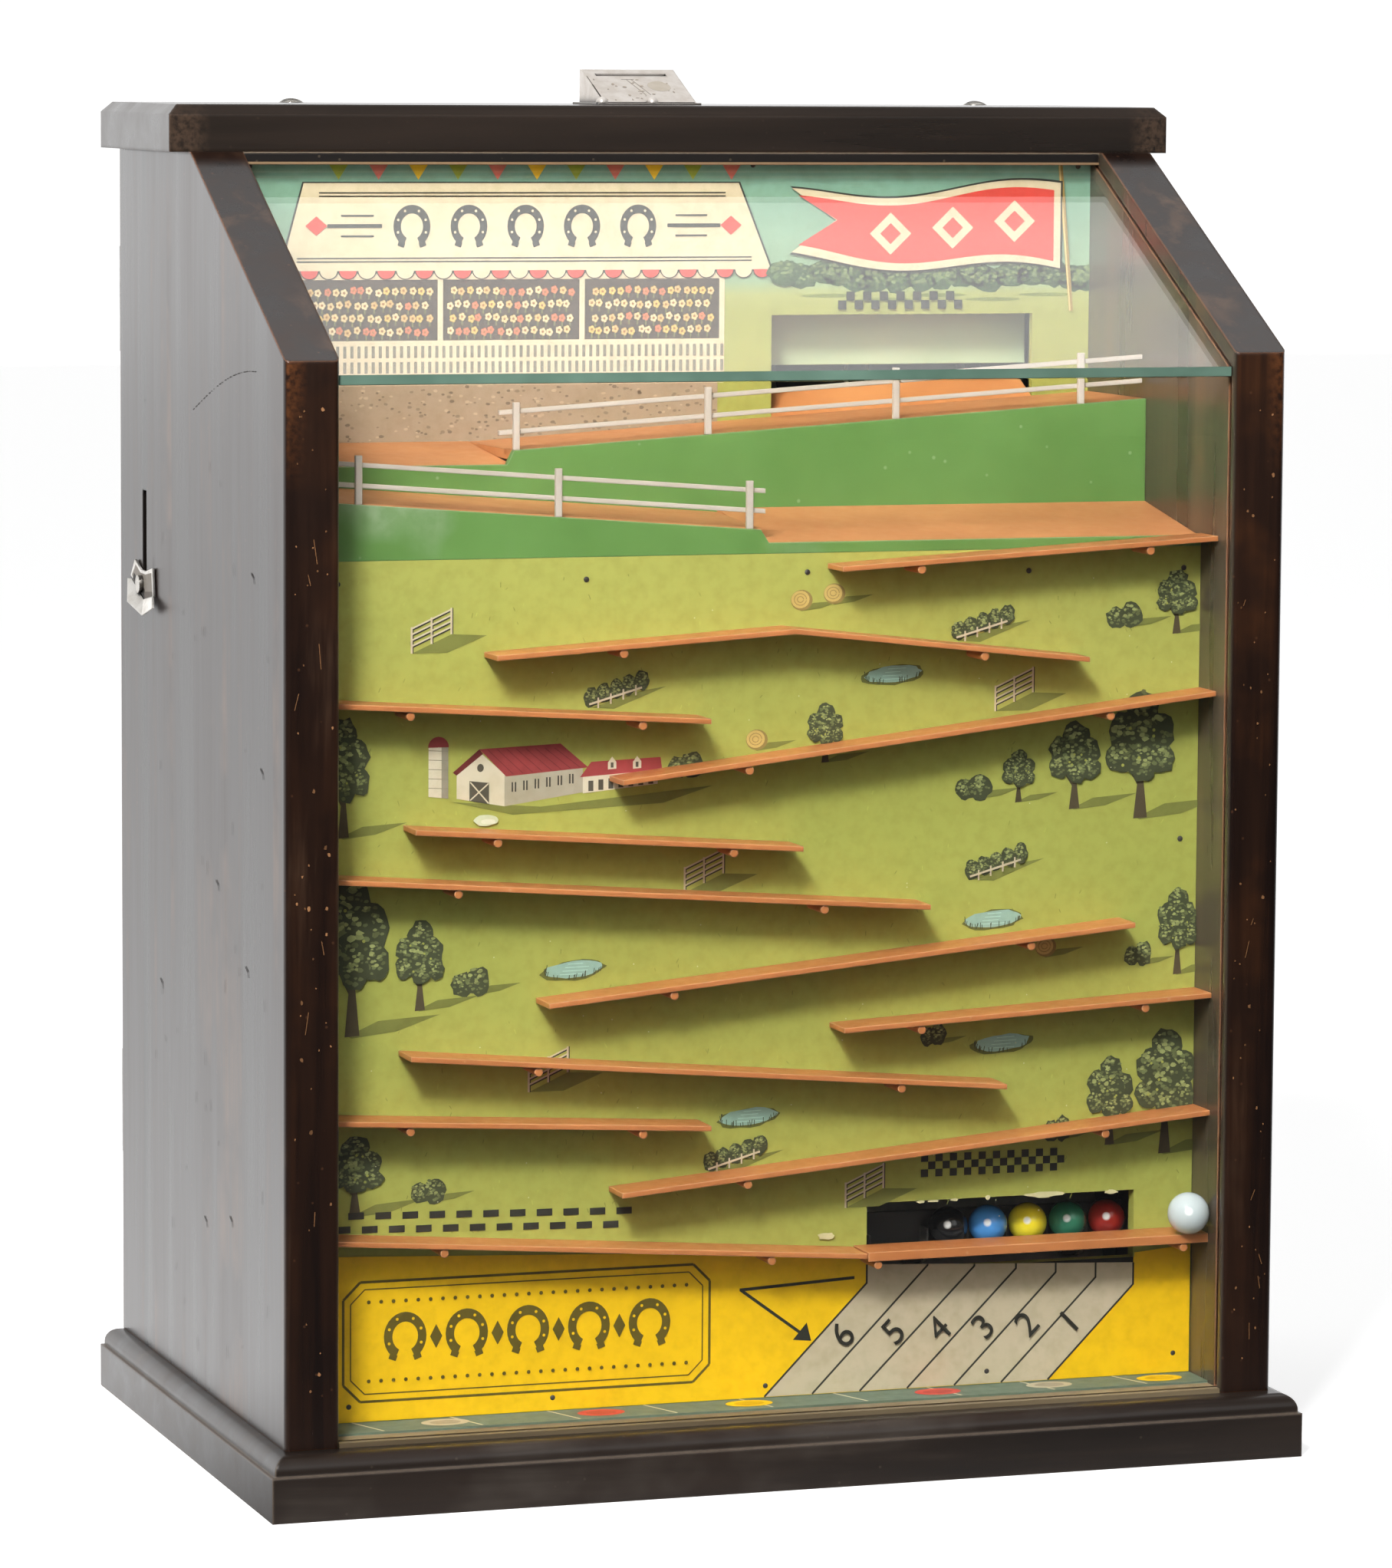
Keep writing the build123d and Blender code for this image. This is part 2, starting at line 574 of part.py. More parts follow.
def turn_deck():
    """The left end of the rear track tips forward and lets the balls drop to the front track."""
    front = REAR_FASCIA_FRONT + FASCIA_THICK
    back_z = BASE_TOP + TURN_BACK_Z
    front_z = back_z - TURN_DROP
    right = TURN_RIGHT_X - 0.05
    return sheet([(-FIT_X, front, front_z), (right, front, front_z), (right, PICTURE_FRONT, back_z),
                  (-FIT_X, PICTURE_FRONT, back_z)], DECK_THICK)


def front_deck():
    front = FIELD_FRONT + FASCIA_THICK
    back = REAR_FASCIA_FRONT
    right = FRONT_TRACK_END_X - 0.05
    top = [(-FIT_X, front), (right, front), (right, back), (-FIT_X, back)]
    return sheet([(x, y, front_track_z(x, y)) for x, y in top], DECK_THICK)


def landing_deck():
    front = FIELD_FRONT + FASCIA_THICK
    left = FRONT_TRACK_END_X + 0.05
    back_z = BASE_TOP + LANDING_BACK_Z
    front_z = BASE_TOP + LANDING_FRONT_Z
    return sheet([(left, front, front_z), (FIT_X, front, front_z), (FIT_X, REAR_FASCIA_FRONT, back_z),
                  (left, REAR_FASCIA_FRONT, back_z)], DECK_THICK)


def rear_fascia():
    foot = BASE_TOP + LANDING_FRONT_Z - DECK_THICK
    turn_z = BASE_TOP + TURN_BACK_Z - TURN_DROP
    outline = [(-FIT_X, foot), (FIT_X, foot), (FIT_X, rear_deck_z(FIT_X)),
               (TURN_RIGHT_X, rear_deck_z(TURN_RIGHT_X)), (TURN_RIGHT_X - 2.5, turn_z), (-FIT_X, turn_z)]
    return deep(outline, REAR_FASCIA_FRONT, REAR_FASCIA_FRONT + FASCIA_THICK)


def front_fascia():
    end_z = front_track_z(FRONT_TRACK_END_X - 1.5, FIELD_FRONT)
    lip_z = BASE_TOP + LANDING_FRONT_Z
    outline = [(-FIT_X, FIELD_TOP), (FIT_X, FIELD_TOP), (FIT_X, lip_z), (FRONT_TRACK_END_X + 1.5, lip_z),
               (FRONT_TRACK_END_X - 1.5, end_z), (-FIT_X, front_track_z(-FIT_X, FIELD_FRONT))]
    return deep(outline, FIELD_FRONT, FIELD_FRONT + FASCIA_THICK)


def fence(posts_x, ends_x, foot_z, face_y):
    """Posts with two rails behind them, standing on a fascia's top edge."""
    solid = None
    half = POST_WIDTH / 2
    rail_back = face_y + FENCE_WIRE * 2
    for x in posts_x:
        post = block(x - half, x + half, face_y, face_y + FENCE_WIRE, foot_z(x) + 0.1, foot_z(x) + POST_HEIGHT)
        solid = post if solid is None else solid + post
    for height in (FENCE_LOWER, FENCE_UPPER):
        ends = [(x, foot_z(x) + height) for x in ends_x]
        low = [(x, z - FENCE_WIRE / 2) for x, z in ends]
        high = [(x, z + FENCE_WIRE / 2) for x, z in reversed(ends)]
        solid += deep(low + high, face_y + FENCE_WIRE - 0.2, rail_back)
    return solid


def rear_fence():
    ends = (REAR_POSTS_X[0] - FENCE_OVERHANG, FIT_X - 1)
    return fence(REAR_POSTS_X, ends, rear_deck_z, REAR_FASCIA_FRONT + 0.2)


def front_fence():
    ends = (FRONT_RAIL_LEFT_X, FRONT_POSTS_X[-1] + FENCE_OVERHANG)
    return fence(FRONT_POSTS_X, ends, lambda x: front_track_z(x, FIELD_FRONT), FIELD_FRONT + 0.2)


def start_ramp():
    """Sloping sheet in the start window that the waiting balls run down."""
    gap = 0.2
    rise = RAMP_RISE / RAMP_DEPTH
    corners = []
    for x, y in ((WINDOW_LEFT + gap, PICTURE_FRONT), (WINDOW_RIGHT - gap, PICTURE_FRONT),
                 (WINDOW_RIGHT - gap, RAMP_EDGE_Y), (WINDOW_LEFT + gap, RAMP_EDGE_Y)):
        corners.append((x, y, rear_deck_z(x) + rise * (y - PICTURE_FRONT)))
    return sheet(corners, RAMP_THICK)


# ---------------------------------------------------------------- zigzag rails with their pegs
def rail_height(points, x):
    for (x0, z0), (x1, z1) in zip(points, points[1:]):
        if x <= x1:
            return z0 + (z1 - z0) * (x - x0) / (x1 - x0)
    return points[-1][1]


def rail(points, peg_places=PEG_PLACES, thick=RAIL_THICK):
    """One strip and the two pegs under it, as separate solids."""
    half = thick / 2
    low = [(x, BASE_TOP + z - half) for x, z in points]
    high = [(x, BASE_TOP + z + half) for x, z in reversed(points)]
    solids = [deep(low + high, RAIL_FRONT, FIELD_FRONT)]
    run = points[-1][0] - points[0][0]
    for place in peg_places:
        x = points[0][0] + place * run
        z = BASE_TOP + rail_height(points, x) - half - PEG_RADIUS - 0.05
        solids.append(rod_y(x, z, PEG_RADIUS, RAIL_FRONT + PEG_SHORT, FIELD_FRONT))
    return solids


def rail_set(rails):
    return Compound([solid for points in rails for solid in rail(points)])


# ---------------------------------------------------------------- lift: tray, car, rods, cord
def pocket_x(index):
    """Middle of a pocket, counted from the right."""
    return POCKET_RIGHT_X - POCKET_PITCH * (index + 0.5)


def ball_tray():
    right = TRAY_RIGHT_X
    floor = block(TRAY_LEFT_X, right, TRAY_FRONT, TRAY_BACK + TRAY_SHEET, TRAY_FLOOR - TRAY_SHEET, TRAY_FLOOR)
    lip = block(TRAY_LEFT_X, right, TRAY_FRONT, TRAY_FRONT + TRAY_SHEET, TRAY_FLOOR, TRAY_FLOOR + TRAY_LIP)
    back = block(TRAY_LEFT_X, right, TRAY_BACK, TRAY_BACK + TRAY_SHEET, TRAY_FLOOR, TRAY_FLOOR + TRAY_BACK_HEIGHT)
    tray = floor + lip + back
    for x in (TRAY_LEFT_X, POCKET_RIGHT_X):
        tray += block(x, x + TRAY_SHEET, TRAY_FRONT + DIVIDER_FRONT_SET, TRAY_BACK, TRAY_FLOOR,
                      TRAY_FLOOR + DIVIDER_HEIGHT)
    for index in range(1, POCKET_COUNT):
        x = POCKET_RIGHT_X - POCKET_PITCH * index
        half = DIVIDER_THICK / 2
        tray += block(x - half, x + half, BALL_Y, TRAY_BACK, TRAY_FLOOR, TRAY_FLOOR + DIVIDER_HEIGHT)
    for x in TRAY_KNUCKLES_X:
        knuckle = rod_x(TRAY_PIN_Y, TRAY_PIN_Z, TRAY_KNUCKLE_RADIUS, x, x + KNUCKLE_LENGTH)
        web = block(x, x + KNUCKLE_LENGTH, TRAY_PIN_Y - TRAY_PIN_RADIUS, TRAY_PIN_Y + TRAY_PIN_RADIUS,
                    TRAY_PIN_Z, TRAY_FLOOR - TRAY_SHEET)
        bore = rod_x(TRAY_PIN_Y, TRAY_PIN_Z, TRAY_PIN_RADIUS + RUN_GAP, x - 1, x + KNUCKLE_LENGTH + 1)
        tray += knuckle + web
        tray -= bore
    return tray


def racing_balls():
    balls = []
    for index in range(FILLED_POCKETS):
        balls.append(Pos(pocket_x(index), BALL_Y, BALL_Z + 0.02) * Sphere(BALL_RADIUS))
    return Compound(balls)


def white_ball():
    """The winner waits at the right end of the finish rail, against the pane and the side board."""
    x = WALL_X - WHITE_BALL_RADIUS - 0.1
    y = GLASS_BACK + WHITE_BALL_RADIUS + 0.3
    slope_room = 0.05
    z = BASE_TOP + rail_height(FINISH_RAIL, x) + FINISH_RAIL_THICK / 2 + WHITE_BALL_RADIUS + slope_room
    return Pos(x, y, z) * Sphere(WHITE_BALL_RADIUS)


def tray_pin(x):
    """Stub of the tray's hinge pin with the ear that carries it on the car."""
    pin_y, pin_z = TRAY_PIN_Y, TRAY_PIN_Z
    set_back = (pin_y - BALL_Y) * UP_Z - (pin_z - BALL_Z) * UP_Y
    along = (pin_y - BALL_Y) * UP_Y + (pin_z - BALL_Z) * UP_Z
    ear_x = x + KNUCKLE_LENGTH + 0.3
    half = TRAY_KNUCKLE_RADIUS - 0.3
    disc = rod_x(pin_y, pin_z, half, ear_x, ear_x + EAR_THICK)
    bar = lift_block(ear_x, ear_x + EAR_THICK, set_back, CAR_PLATE_SET + 0.5, along - half, along + half - 0.4)
    return rod_x(pin_y, pin_z, TRAY_PIN_RADIUS, x, ear_x + EAR_THICK) + disc + bar


def lift_car():
    car = lift_block(CAR_LEFT_X, CAR_RIGHT_X, CAR_PLATE_SET, CAR_PLATE_SET + CAR_PLATE, -CAR_BELOW, CAR_ABOVE)
    half = CAR_BUSH_LENGTH / 2
    for x in RODS_X:
        car += lift_rod(x, ROD_SET, CAR_BUSH_RADIUS, -half, half)
    clamp = 3.5
    car += lift_block(CORD_X - clamp, CORD_X + clamp, CAR_PLATE_SET, ROD_SET + clamp, -clamp, clamp)
    for x in TRAY_KNUCKLES_X:
        car += tray_pin(x)
    for x in RODS_X:
        car -= lift_rod(x, ROD_SET, ROD_RADIUS + RUN_GAP, -half - 5, half + 5)
    car -= lift_rod(CORD_X, ROD_SET, CORD_RADIUS + RUN_GAP, -clamp - 5, clamp + 5)
    return car


def lift_rods():
    top = LIFT_TRAVEL + ROD_HEAD
    return Compound([lift_rod(x, ROD_SET, ROD_RADIUS, -ROD_FOOT, top) for x in RODS_X])


def rod_feet():
    """Blocks on the base that hold the rods' lower ends."""
    feet = []
    y, z = lift_point(ROD_SET, -ROD_FOOT)
    for x in RODS_X:
        half = FOOT_BLOCK_WIDTH / 2
        foot = block(x - half, x + half, y - FOOT_BLOCK_DEPTH / 2, y + FOOT_BLOCK_DEPTH / 2, BASE_TOP,
                     z + ROD_RADIUS * 2)
        foot -= lift_rod(x, ROD_SET, ROD_RADIUS, -ROD_FOOT, LIFT_TRAVEL)
        feet.append(foot)
    return feet


def header_foot():
    return lift_point(ROD_SET, LIFT_TRAVEL + ROD_HEAD)[1] - HEADER_HEIGHT / 2


def rod_header():
    """Beam between the side boards that holds the rods' upper ends."""
    y, z = lift_point(ROD_SET, LIFT_TRAVEL + ROD_HEAD)
    foot = header_foot()
    beam = block(-FIT_X, FIT_X, y - HEADER_DEPTH / 2, y + HEADER_DEPTH / 2, foot, foot + HEADER_HEIGHT)
    for x in RODS_X:
        beam -= lift_rod(x, ROD_SET, ROD_RADIUS, 0, LIFT_TRAVEL + ROD_HEAD)
    return beam


def lower_idler_centre():
    return lift_point(ROD_SET + IDLER_CORD_RADIUS, -LOWER_IDLER_BELOW)


def upper_idler_centre():
    return lift_point(ROD_SET + IDLER_CORD_RADIUS, LIFT_TRAVEL + UPPER_IDLER_ABOVE)


def grooved_wheel(centre, cord_radius, width, bore):
    """A wheel on X with a groove that the cord lies in."""
    y, z = centre
    half = width / 2
    wheel = rod_x(y, z, cord_radius + PULLEY_RIM, CORD_X - half, CORD_X + half)
    ring = Pos(CORD_X, y, z) * Rot(0, 90, 0) * Torus(cord_radius, CORD_RADIUS + PULLEY_GROOVE_GAP)
    mouth = CORD_RADIUS + PULLEY_GROOVE_GAP
    outer = rod_x(y, z, cord_radius + PULLEY_RIM + 1, CORD_X - mouth, CORD_X + mouth)
    inner = rod_x(y, z, cord_radius, CORD_X - mouth - 1, CORD_X + mouth + 1)
    return wheel - (outer - inner) - ring - rod_x(y, z, bore, CORD_X - half - 1, CORD_X + half + 1)


def idler(centre):
    return grooved_wheel(centre, IDLER_CORD_RADIUS, IDLER_WIDTH, IDLER_BORE + RUN_GAP)


def idler_bracket(centre, z0, z1, depth):
    """Two ears joined by the idler's axle and by a bridge at their fixed end."""
    y, z = centre
    inside = IDLER_WIDTH / 2 + EAR_GAP
    outside = inside + EAR_THICK
    bridge_z = z0 if z - z0 > z1 - z else z1 - EAR_THICK
    bracket = rod_x(y, z, IDLER_BORE, CORD_X - outside, CORD_X + outside)
    for x0, x1 in ((-outside, -inside), (inside, outside)):
        bracket += block(CORD_X + x0, CORD_X + x1, y - depth / 2, y + depth / 2, z0, z1)
    return bracket + block(CORD_X - outside, CORD_X + outside, y - depth / 2, y + depth / 2,
                           bridge_z, bridge_z + EAR_THICK)


def idler_brackets():
    low = lower_idler_centre()
    high = upper_idler_centre()
    return Compound([idler_bracket(low, BASE_TOP, low[1] + 4, 11.0),
                     idler_bracket(high, high[1] - 4, header_foot(), 8.0)])


def tangent(first, r_first, second, r_second):
    """Outer tangent on the right-hand side, looking from the first circle to the second."""
    dy = second[0] - first[0]
    dz = second[1] - first[1]
    gap = hypot(dy, dz)
    heading = atan2(dz, dy)
    tilt = atan2(r_second - r_first, sqrt(gap**2 - (r_second - r_first) ** 2))
    angle = heading - pi / 2 - tilt
    start = (first[0] + r_first * cos(angle), first[1] + r_first * sin(angle))
    end = (second[0] + r_second * cos(angle), second[1] + r_second * sin(angle))
    return start, end, angle


def cord_loop():
    """Endless cord: lower idler, drive pulley, upper idler, and back down beside the rods."""
    wheels = [(lower_idler_centre(), IDLER_CORD_RADIUS), ((DRIVE_Y, DRIVE_Z), PULLEY_CORD_RADIUS),
              (upper_idler_centre(), IDLER_CORD_RADIUS)]
    runs = []
    for index in range(3):
        first, second = wheels[index], wheels[(index + 1) % 3]
        runs.append(tangent(first[0], first[1], second[0], second[1]))
    edges = []
    for index in range(3):
        start, end, angle = runs[index]
        next_start, next_end, next_angle = runs[(index + 1) % 3]
        centre, radius = wheels[(index + 1) % 3]
        sweep_angle = (next_angle - angle) % (2 * pi)
        middle = angle + sweep_angle / 2
        through = (centre[0] + radius * cos(middle), centre[1] + radius * sin(middle))
        edges.append(Line((CORD_X, *start), (CORD_X, *end)))
        edges.append(ThreePointArc((CORD_X, *end), (CORD_X, *through), (CORD_X, *next_start)))
    return Wire(edges), runs


def lift_cord():
    path, runs = cord_loop()
    start, end, angle = runs[0]
    heading = Vector(0, end[0] - start[0], end[1] - start[1])
    profile = Plane(origin=(CORD_X, *start), z_dir=heading) * Circle(CORD_RADIUS)
    return sweep(profile, path=path)


# ---------------------------------------------------------------- drive: handle, sector, pinion, pulley
def tooth(radius, angle, centre, outward=1):
    """Tooth outline as four (y, z) points, thinner than its gap so that the mesh has play."""
    add = 0.85 * GEAR_MODULE
    root = 1.15 * GEAR_MODULE
    pitch = pi * GEAR_MODULE
    half_root = pitch * 0.34 / radius
    half_tip = pitch * 0.115 / radius
    points = []
    for r, half in ((radius - root, -half_root), (radius + add, -half_tip), (radius + add, half_tip),
                    (radius - root, half_root)):
        points.append((centre[0] + r * cos(angle + half), centre[1] + r * sin(angle + half)))
    return points


STRAIGHT_DOWN = -90.0       # degrees, from the case's back


def sector_gear():
    centre = (HANDLE_Y, HANDLE_AXIS_Z)
    x0, x1 = GEAR_X, GEAR_X + GEAR_THICK
    inner = SECTOR_RADIUS - 1.05 * GEAR_MODULE
    start = STRAIGHT_DOWN - HANDLE_SWING - SECTOR_MARGIN
    end = STRAIGHT_DOWN + SECTOR_MARGIN
    steps = 50
    rim = []
    for index in range(steps + 1):
        angle = radians(start + (end - start) * index / steps)
        rim.append((centre[0] + inner * cos(angle), centre[1] + inner * sin(angle)))
    gear = across([centre] + rim, x0, x1)
    gear += rod_x(centre[0], centre[1], SECTOR_HUB_RADIUS, x0, x1 + 3)
    step = 360 / SECTOR_TEETH
    first = int((start + 90) / step)
    last = int((end + 90) / step)
    for index in range(first, last + 1):
        gear += across(tooth(SECTOR_RADIUS, radians(-90 + index * step), centre), x0, x1)
    return gear - rod_x(centre[0], centre[1], HANDLE_SHAFT_RADIUS, x0 - 1, x1 + 5)


def pinion_gear():
    centre = (DRIVE_Y, DRIVE_Z)
    x0, x1 = GEAR_X - 0.5, GEAR_X + GEAR_THICK + 0.5
    gear = rod_x(centre[0], centre[1], PINION_RADIUS - 1.1 * GEAR_MODULE, x0, x1)
    step = 360 / PINION_TEETH
    for index in range(PINION_TEETH):
        gear += across(tooth(PINION_RADIUS, radians(90 + step / 2 + index * step), centre), x0, x1)
    return gear - rod_x(centre[0], centre[1], DRIVE_SHAFT_RADIUS, x0 - 1, x1 + 1)


def drive_shaft():
    return rod_x(DRIVE_Y, DRIVE_Z, DRIVE_SHAFT_RADIUS, PLATES_X[0] - 2, PLATES_X[1] + PLATE_THICK + 2)


def drive_pulley():
    return grooved_wheel((DRIVE_Y, DRIVE_Z), PULLEY_CORD_RADIUS, PULLEY_WIDTH, DRIVE_SHAFT_RADIUS)


def handle_shaft():
    return rod_x(HANDLE_Y, HANDLE_AXIS_Z, HANDLE_SHAFT_RADIUS, PLATES_X[0] - 3, OUTER_X + HANDLE_STAND_OFF)


def arm_x():
    return OUTER_X + HANDLE_STAND_OFF - ARM_THICK - 2


def handle_arm():
    x0 = arm_x()
    x1 = x0 + ARM_THICK
    tip_z = HANDLE_AXIS_Z + ARM_REACH
    bar = across([(HANDLE_Y - ARM_HUB_RADIUS * 0.8, HANDLE_AXIS_Z), (HANDLE_Y + ARM_HUB_RADIUS * 0.8, HANDLE_AXIS_Z),
                  (HANDLE_Y + ARM_TIP_RADIUS * 0.8, tip_z), (HANDLE_Y - ARM_TIP_RADIUS * 0.8, tip_z)], x0, x1)
    arm = bar + rod_x(HANDLE_Y, HANDLE_AXIS_Z, ARM_HUB_RADIUS, x0 - 3, x1)
    arm += rod_x(HANDLE_Y, tip_z, ARM_TIP_RADIUS, x0, x1)
    return arm - rod_x(HANDLE_Y, HANDLE_AXIS_Z, HANDLE_SHAFT_RADIUS, x0 - 5, x1 + 5)


def handle_knob():
    x0 = arm_x() + ARM_THICK
    z = HANDLE_AXIS_Z + ARM_REACH
    reach = sqrt(KNOB_RADIUS**2 - KNOB_NECK_RADIUS**2)
    centre = x0 + KNOB_NECK + reach
    knob = Pos(centre, HANDLE_Y, z) * Sphere(KNOB_RADIUS)
    return knob + rod_x(HANDLE_Y, z, KNOB_NECK_RADIUS, x0, centre)


def bearing_plates():
    """Upright plates with bent feet that carry the two shafts."""
    plates = []
    top = HANDLE_AXIS_Z + PLATE_OVER_SHAFT
    half = PLATE_WIDTH / 2
    for x, side in zip(PLATES_X, (-1, 1)):
        plate = block(x, x + PLATE_THICK, HANDLE_Y - half, HANDLE_Y + half, BASE_TOP, top)
        x0, x1 = sorted((x + PLATE_THICK / 2, x + PLATE_THICK / 2 + side * PLATE_FOOT))
        plate += block(x0, x1, HANDLE_Y - half, HANDLE_Y + half, BASE_TOP, BASE_TOP + PLATE_THICK)
        plate -= rod_x(HANDLE_Y, HANDLE_AXIS_Z, HANDLE_SHAFT_RADIUS + RUN_GAP, x - 1, x + PLATE_THICK + 1)
        plate -= rod_x(DRIVE_Y, DRIVE_Z, DRIVE_SHAFT_RADIUS + RUN_GAP, x - 1, x + PLATE_THICK + 1)
        plates.append(plate)
    return Compound(plates)


def shaft_bush():
    """Flanged brass bush in the right side board."""
    outer = HANDLE_SHAFT_RADIUS + BUSH_WALL
    bush = rod_x(HANDLE_Y, HANDLE_AXIS_Z, outer, WALL_X, OUTER_X + BUSH_FLANGE)
    bush += rod_x(HANDLE_Y, HANDLE_AXIS_Z, outer + 4, OUTER_X, OUTER_X + BUSH_FLANGE)
    return bush - rod_x(HANDLE_Y, HANDLE_AXIS_Z, HANDLE_SHAFT_RADIUS + RUN_GAP, WALL_X - 1, OUTER_X + 5)


# ---------------------------------------------------------------- start gate and its lever
def gate_plate():
    left = WINDOW_LEFT - GATE_OVERLAP
    return block(left, WINDOW_RIGHT + GATE_OVERLAP + 2, GATE_FRONT, GATE_BACK, GATE_FOOT, GATE_FOOT + GATE_HEIGHT)


def slide_plate():
    """Bar behind the gate that runs to the left side board and down to the lever."""
    top = GATE_FOOT + GATE_HEIGHT
    left = -SLIDE_OUT_X
    inner = -SLIDE_IN_X
    bar = block(left, WINDOW_LEFT + GATE_OVERLAP * 4, GATE_BACK, GATE_BACK + SLIDE_THICK, top - CROSS_BAR_HEIGHT, top)
    foot = LEVER_Z - SLIDE_FOOT_HEIGHT / 2
    lever_back = LEVER_Y + SLIDE_PAST_STEM
    plate = across([(GATE_BACK, foot), (lever_back, foot), (lever_back, foot + SLIDE_FOOT_HEIGHT),
                    (SLIDE_BACK, foot + SLIDE_FOOT_HEIGHT), (SLIDE_BACK, top), (GATE_BACK, top)], left, inner)
    y = guide_y()
    half = GUIDE_SCREW_RADIUS + RUN_GAP
    for z in GUIDE_SCREWS_Z:
        low = BASE_TOP + z - GATE_LIFT - half - GUIDE_SLOT_SPARE
        plate -= block(left - 1, inner + 1, y - half, y + half, low, BASE_TOP + z + half + GUIDE_SLOT_SPARE)
    return plate + bar


def guide_y():
    return (GATE_BACK + SLIDE_BACK) / 2


def guide_screws():
    """Shoulder screws in the left side board that the slide runs on."""
    screws = []
    for z in GUIDE_SCREWS_Z:
        head = -SLIDE_IN_X + 0.2
        screw = rod_x(guide_y(), BASE_TOP + z, GUIDE_SCREW_RADIUS, -WALL_X, head)
        screw += rod_x(guide_y(), BASE_TOP + z, GUIDE_HEAD_RADIUS, head, head + GUIDE_HEAD_THICK)
        screws.append(screw)
    return Compound(screws)


def lever_screw():
    """Stem through the side board's slot, with the screw head that holds the grip."""
    head = -OUTER_X - SLIDE_GAP - GRIP_SHEET
    stem = rod_x(LEVER_Y, LEVER_Z, LEVER_STEM_RADIUS, head, -SLIDE_OUT_X)
    cap = rod_x(LEVER_Y, LEVER_Z, GRIP_SCREW_RADIUS, head - 1.6, head)
    return stem + cap


def skirt(points):
    """A flat sheet through the points, as thick as the grip, on the side away from the case."""
    face = make_face(Polyline(*points, close=True))
    return extrude(face, amount=GRIP_SHEET, dir=(-1, 0, 0))


def lever_grip():
    """Folded sheet finger pull: a shield with one ear, and two skirts that run out from its lower folds."""
    x = -OUTER_X - SLIDE_GAP
    outline = [GRIP_FRONT_FOLD, GRIP_TIP_FOLD, GRIP_REAR_FOLD, *GRIP_UPPER_EDGE]
    grip = across([(LEVER_Y + back, LEVER_Z + up) for back, up in outline], x - GRIP_SHEET, x)

    def on_shield(corner):
        back, up = corner
        return Vector(x - GRIP_SHEET / 2, LEVER_Y + back, LEVER_Z + up)

    tip = on_shield(GRIP_TIP_FOLD)
    rearward = on_shield(GRIP_REAR_FOLD) - tip
    forward = on_shield(GRIP_FRONT_FOLD) - tip
    out = Vector(*GRIP_SKIRT)
    low = tip - rearward * 0.39 + out * 0.66
    grip += skirt([tip, tip + rearward, tip + rearward * 1.15 + out * 0.22, tip + rearward * 0.5 + out * 1.06, low])
    grip += skirt([tip, tip + forward, tip + forward * 1.14 + (low - tip) * 0.69, low])
    return grip - rod_x(LEVER_Y, LEVER_Z, LEVER_STEM_RADIUS, x - 5, x + 5)


# ---------------------------------------------------------------- coin head, chute, cash box
def coin_head():
    x0 = COIN_HEAD_LEFT_X
    x1 = x0 + COIN_HEAD_WIDTH
    y0 = COIN_HEAD_FRONT_Y
    y1 = y0 + COIN_HEAD_DEPTH
    top = CAP_TOP + COIN_FLANGE
    wedge = across([(y0, top), (y1, top), (y1, top + COIN_HEAD_HEIGHT), (y1 - 1.5, top + COIN_HEAD_HEIGHT)], x0, x1)
    flange = block(x0 - COIN_FLANGE_OUT, x1 + 1, y0 - COIN_FLANGE_OUT, y1, CAP_TOP, top)
    reach = COIN_SLOT_WIDTH / 2
    gap = COIN_SLOT_GAP / 2
    slot = block(COIN_SLOT_X - reach, COIN_SLOT_X + reach, COIN_SLOT_Y - gap, COIN_SLOT_Y + gap,
                 CAP_TOP - 1, top + COIN_HEAD_HEIGHT + 1)
    head = wedge + flange - slot
    for place in COIN_SCREW_PLACES:
        x = x0 + COIN_HEAD_WIDTH * place
        screw = Pos(x, y0 - COIN_SCREW_SET, top) * Sphere(COIN_SCREW_RADIUS)
        above = block(x - 4, x + 4, y0 - COIN_FLANGE_OUT - 2, y0 + 2, top - 0.1, top + 4)
        head += screw & above
    return head


def coin_chute():
    reach = COIN_SLOT_WIDTH / 2 + 0.5
    gap = CHUTE_GAP / 2
    low = SIDE_TOP - CHUTE_LENGTH
    tube = block(COIN_SLOT_X - reach - CHUTE_WALL, COIN_SLOT_X + reach + CHUTE_WALL,
                 COIN_SLOT_Y - gap - CHUTE_WALL, COIN_SLOT_Y + gap + CHUTE_WALL, low, SIDE_TOP)
    side = reach + CHUTE_FLANGE_SIDE
    deep_half = gap + CHUTE_FLANGE_DEEP
    tube += block(COIN_SLOT_X - side, COIN_SLOT_X + side, COIN_SLOT_Y - deep_half, COIN_SLOT_Y + deep_half,
                  SIDE_TOP - CHUTE_WALL, SIDE_TOP)
    return tube - block(COIN_SLOT_X - reach, COIN_SLOT_X + reach, COIN_SLOT_Y - gap, COIN_SLOT_Y + gap,
                        low - 1, SIDE_TOP + 1)


def cash_box():
    half_x = CASH_BOX_WIDTH / 2
    half_y = CASH_BOX_DEPTH / 2
    y = COIN_SLOT_Y
    box = block(COIN_SLOT_X - half_x, COIN_SLOT_X + half_x, y - half_y, y + half_y, BASE_TOP,
                BASE_TOP + CASH_BOX_HEIGHT)
    wall = CASH_BOX_WALL
    return box - block(COIN_SLOT_X - half_x + wall, COIN_SLOT_X + half_x - wall, y - half_y + wall,
                       y + half_y - wall, BASE_TOP + wall, BASE_TOP + CASH_BOX_HEIGHT + 1)


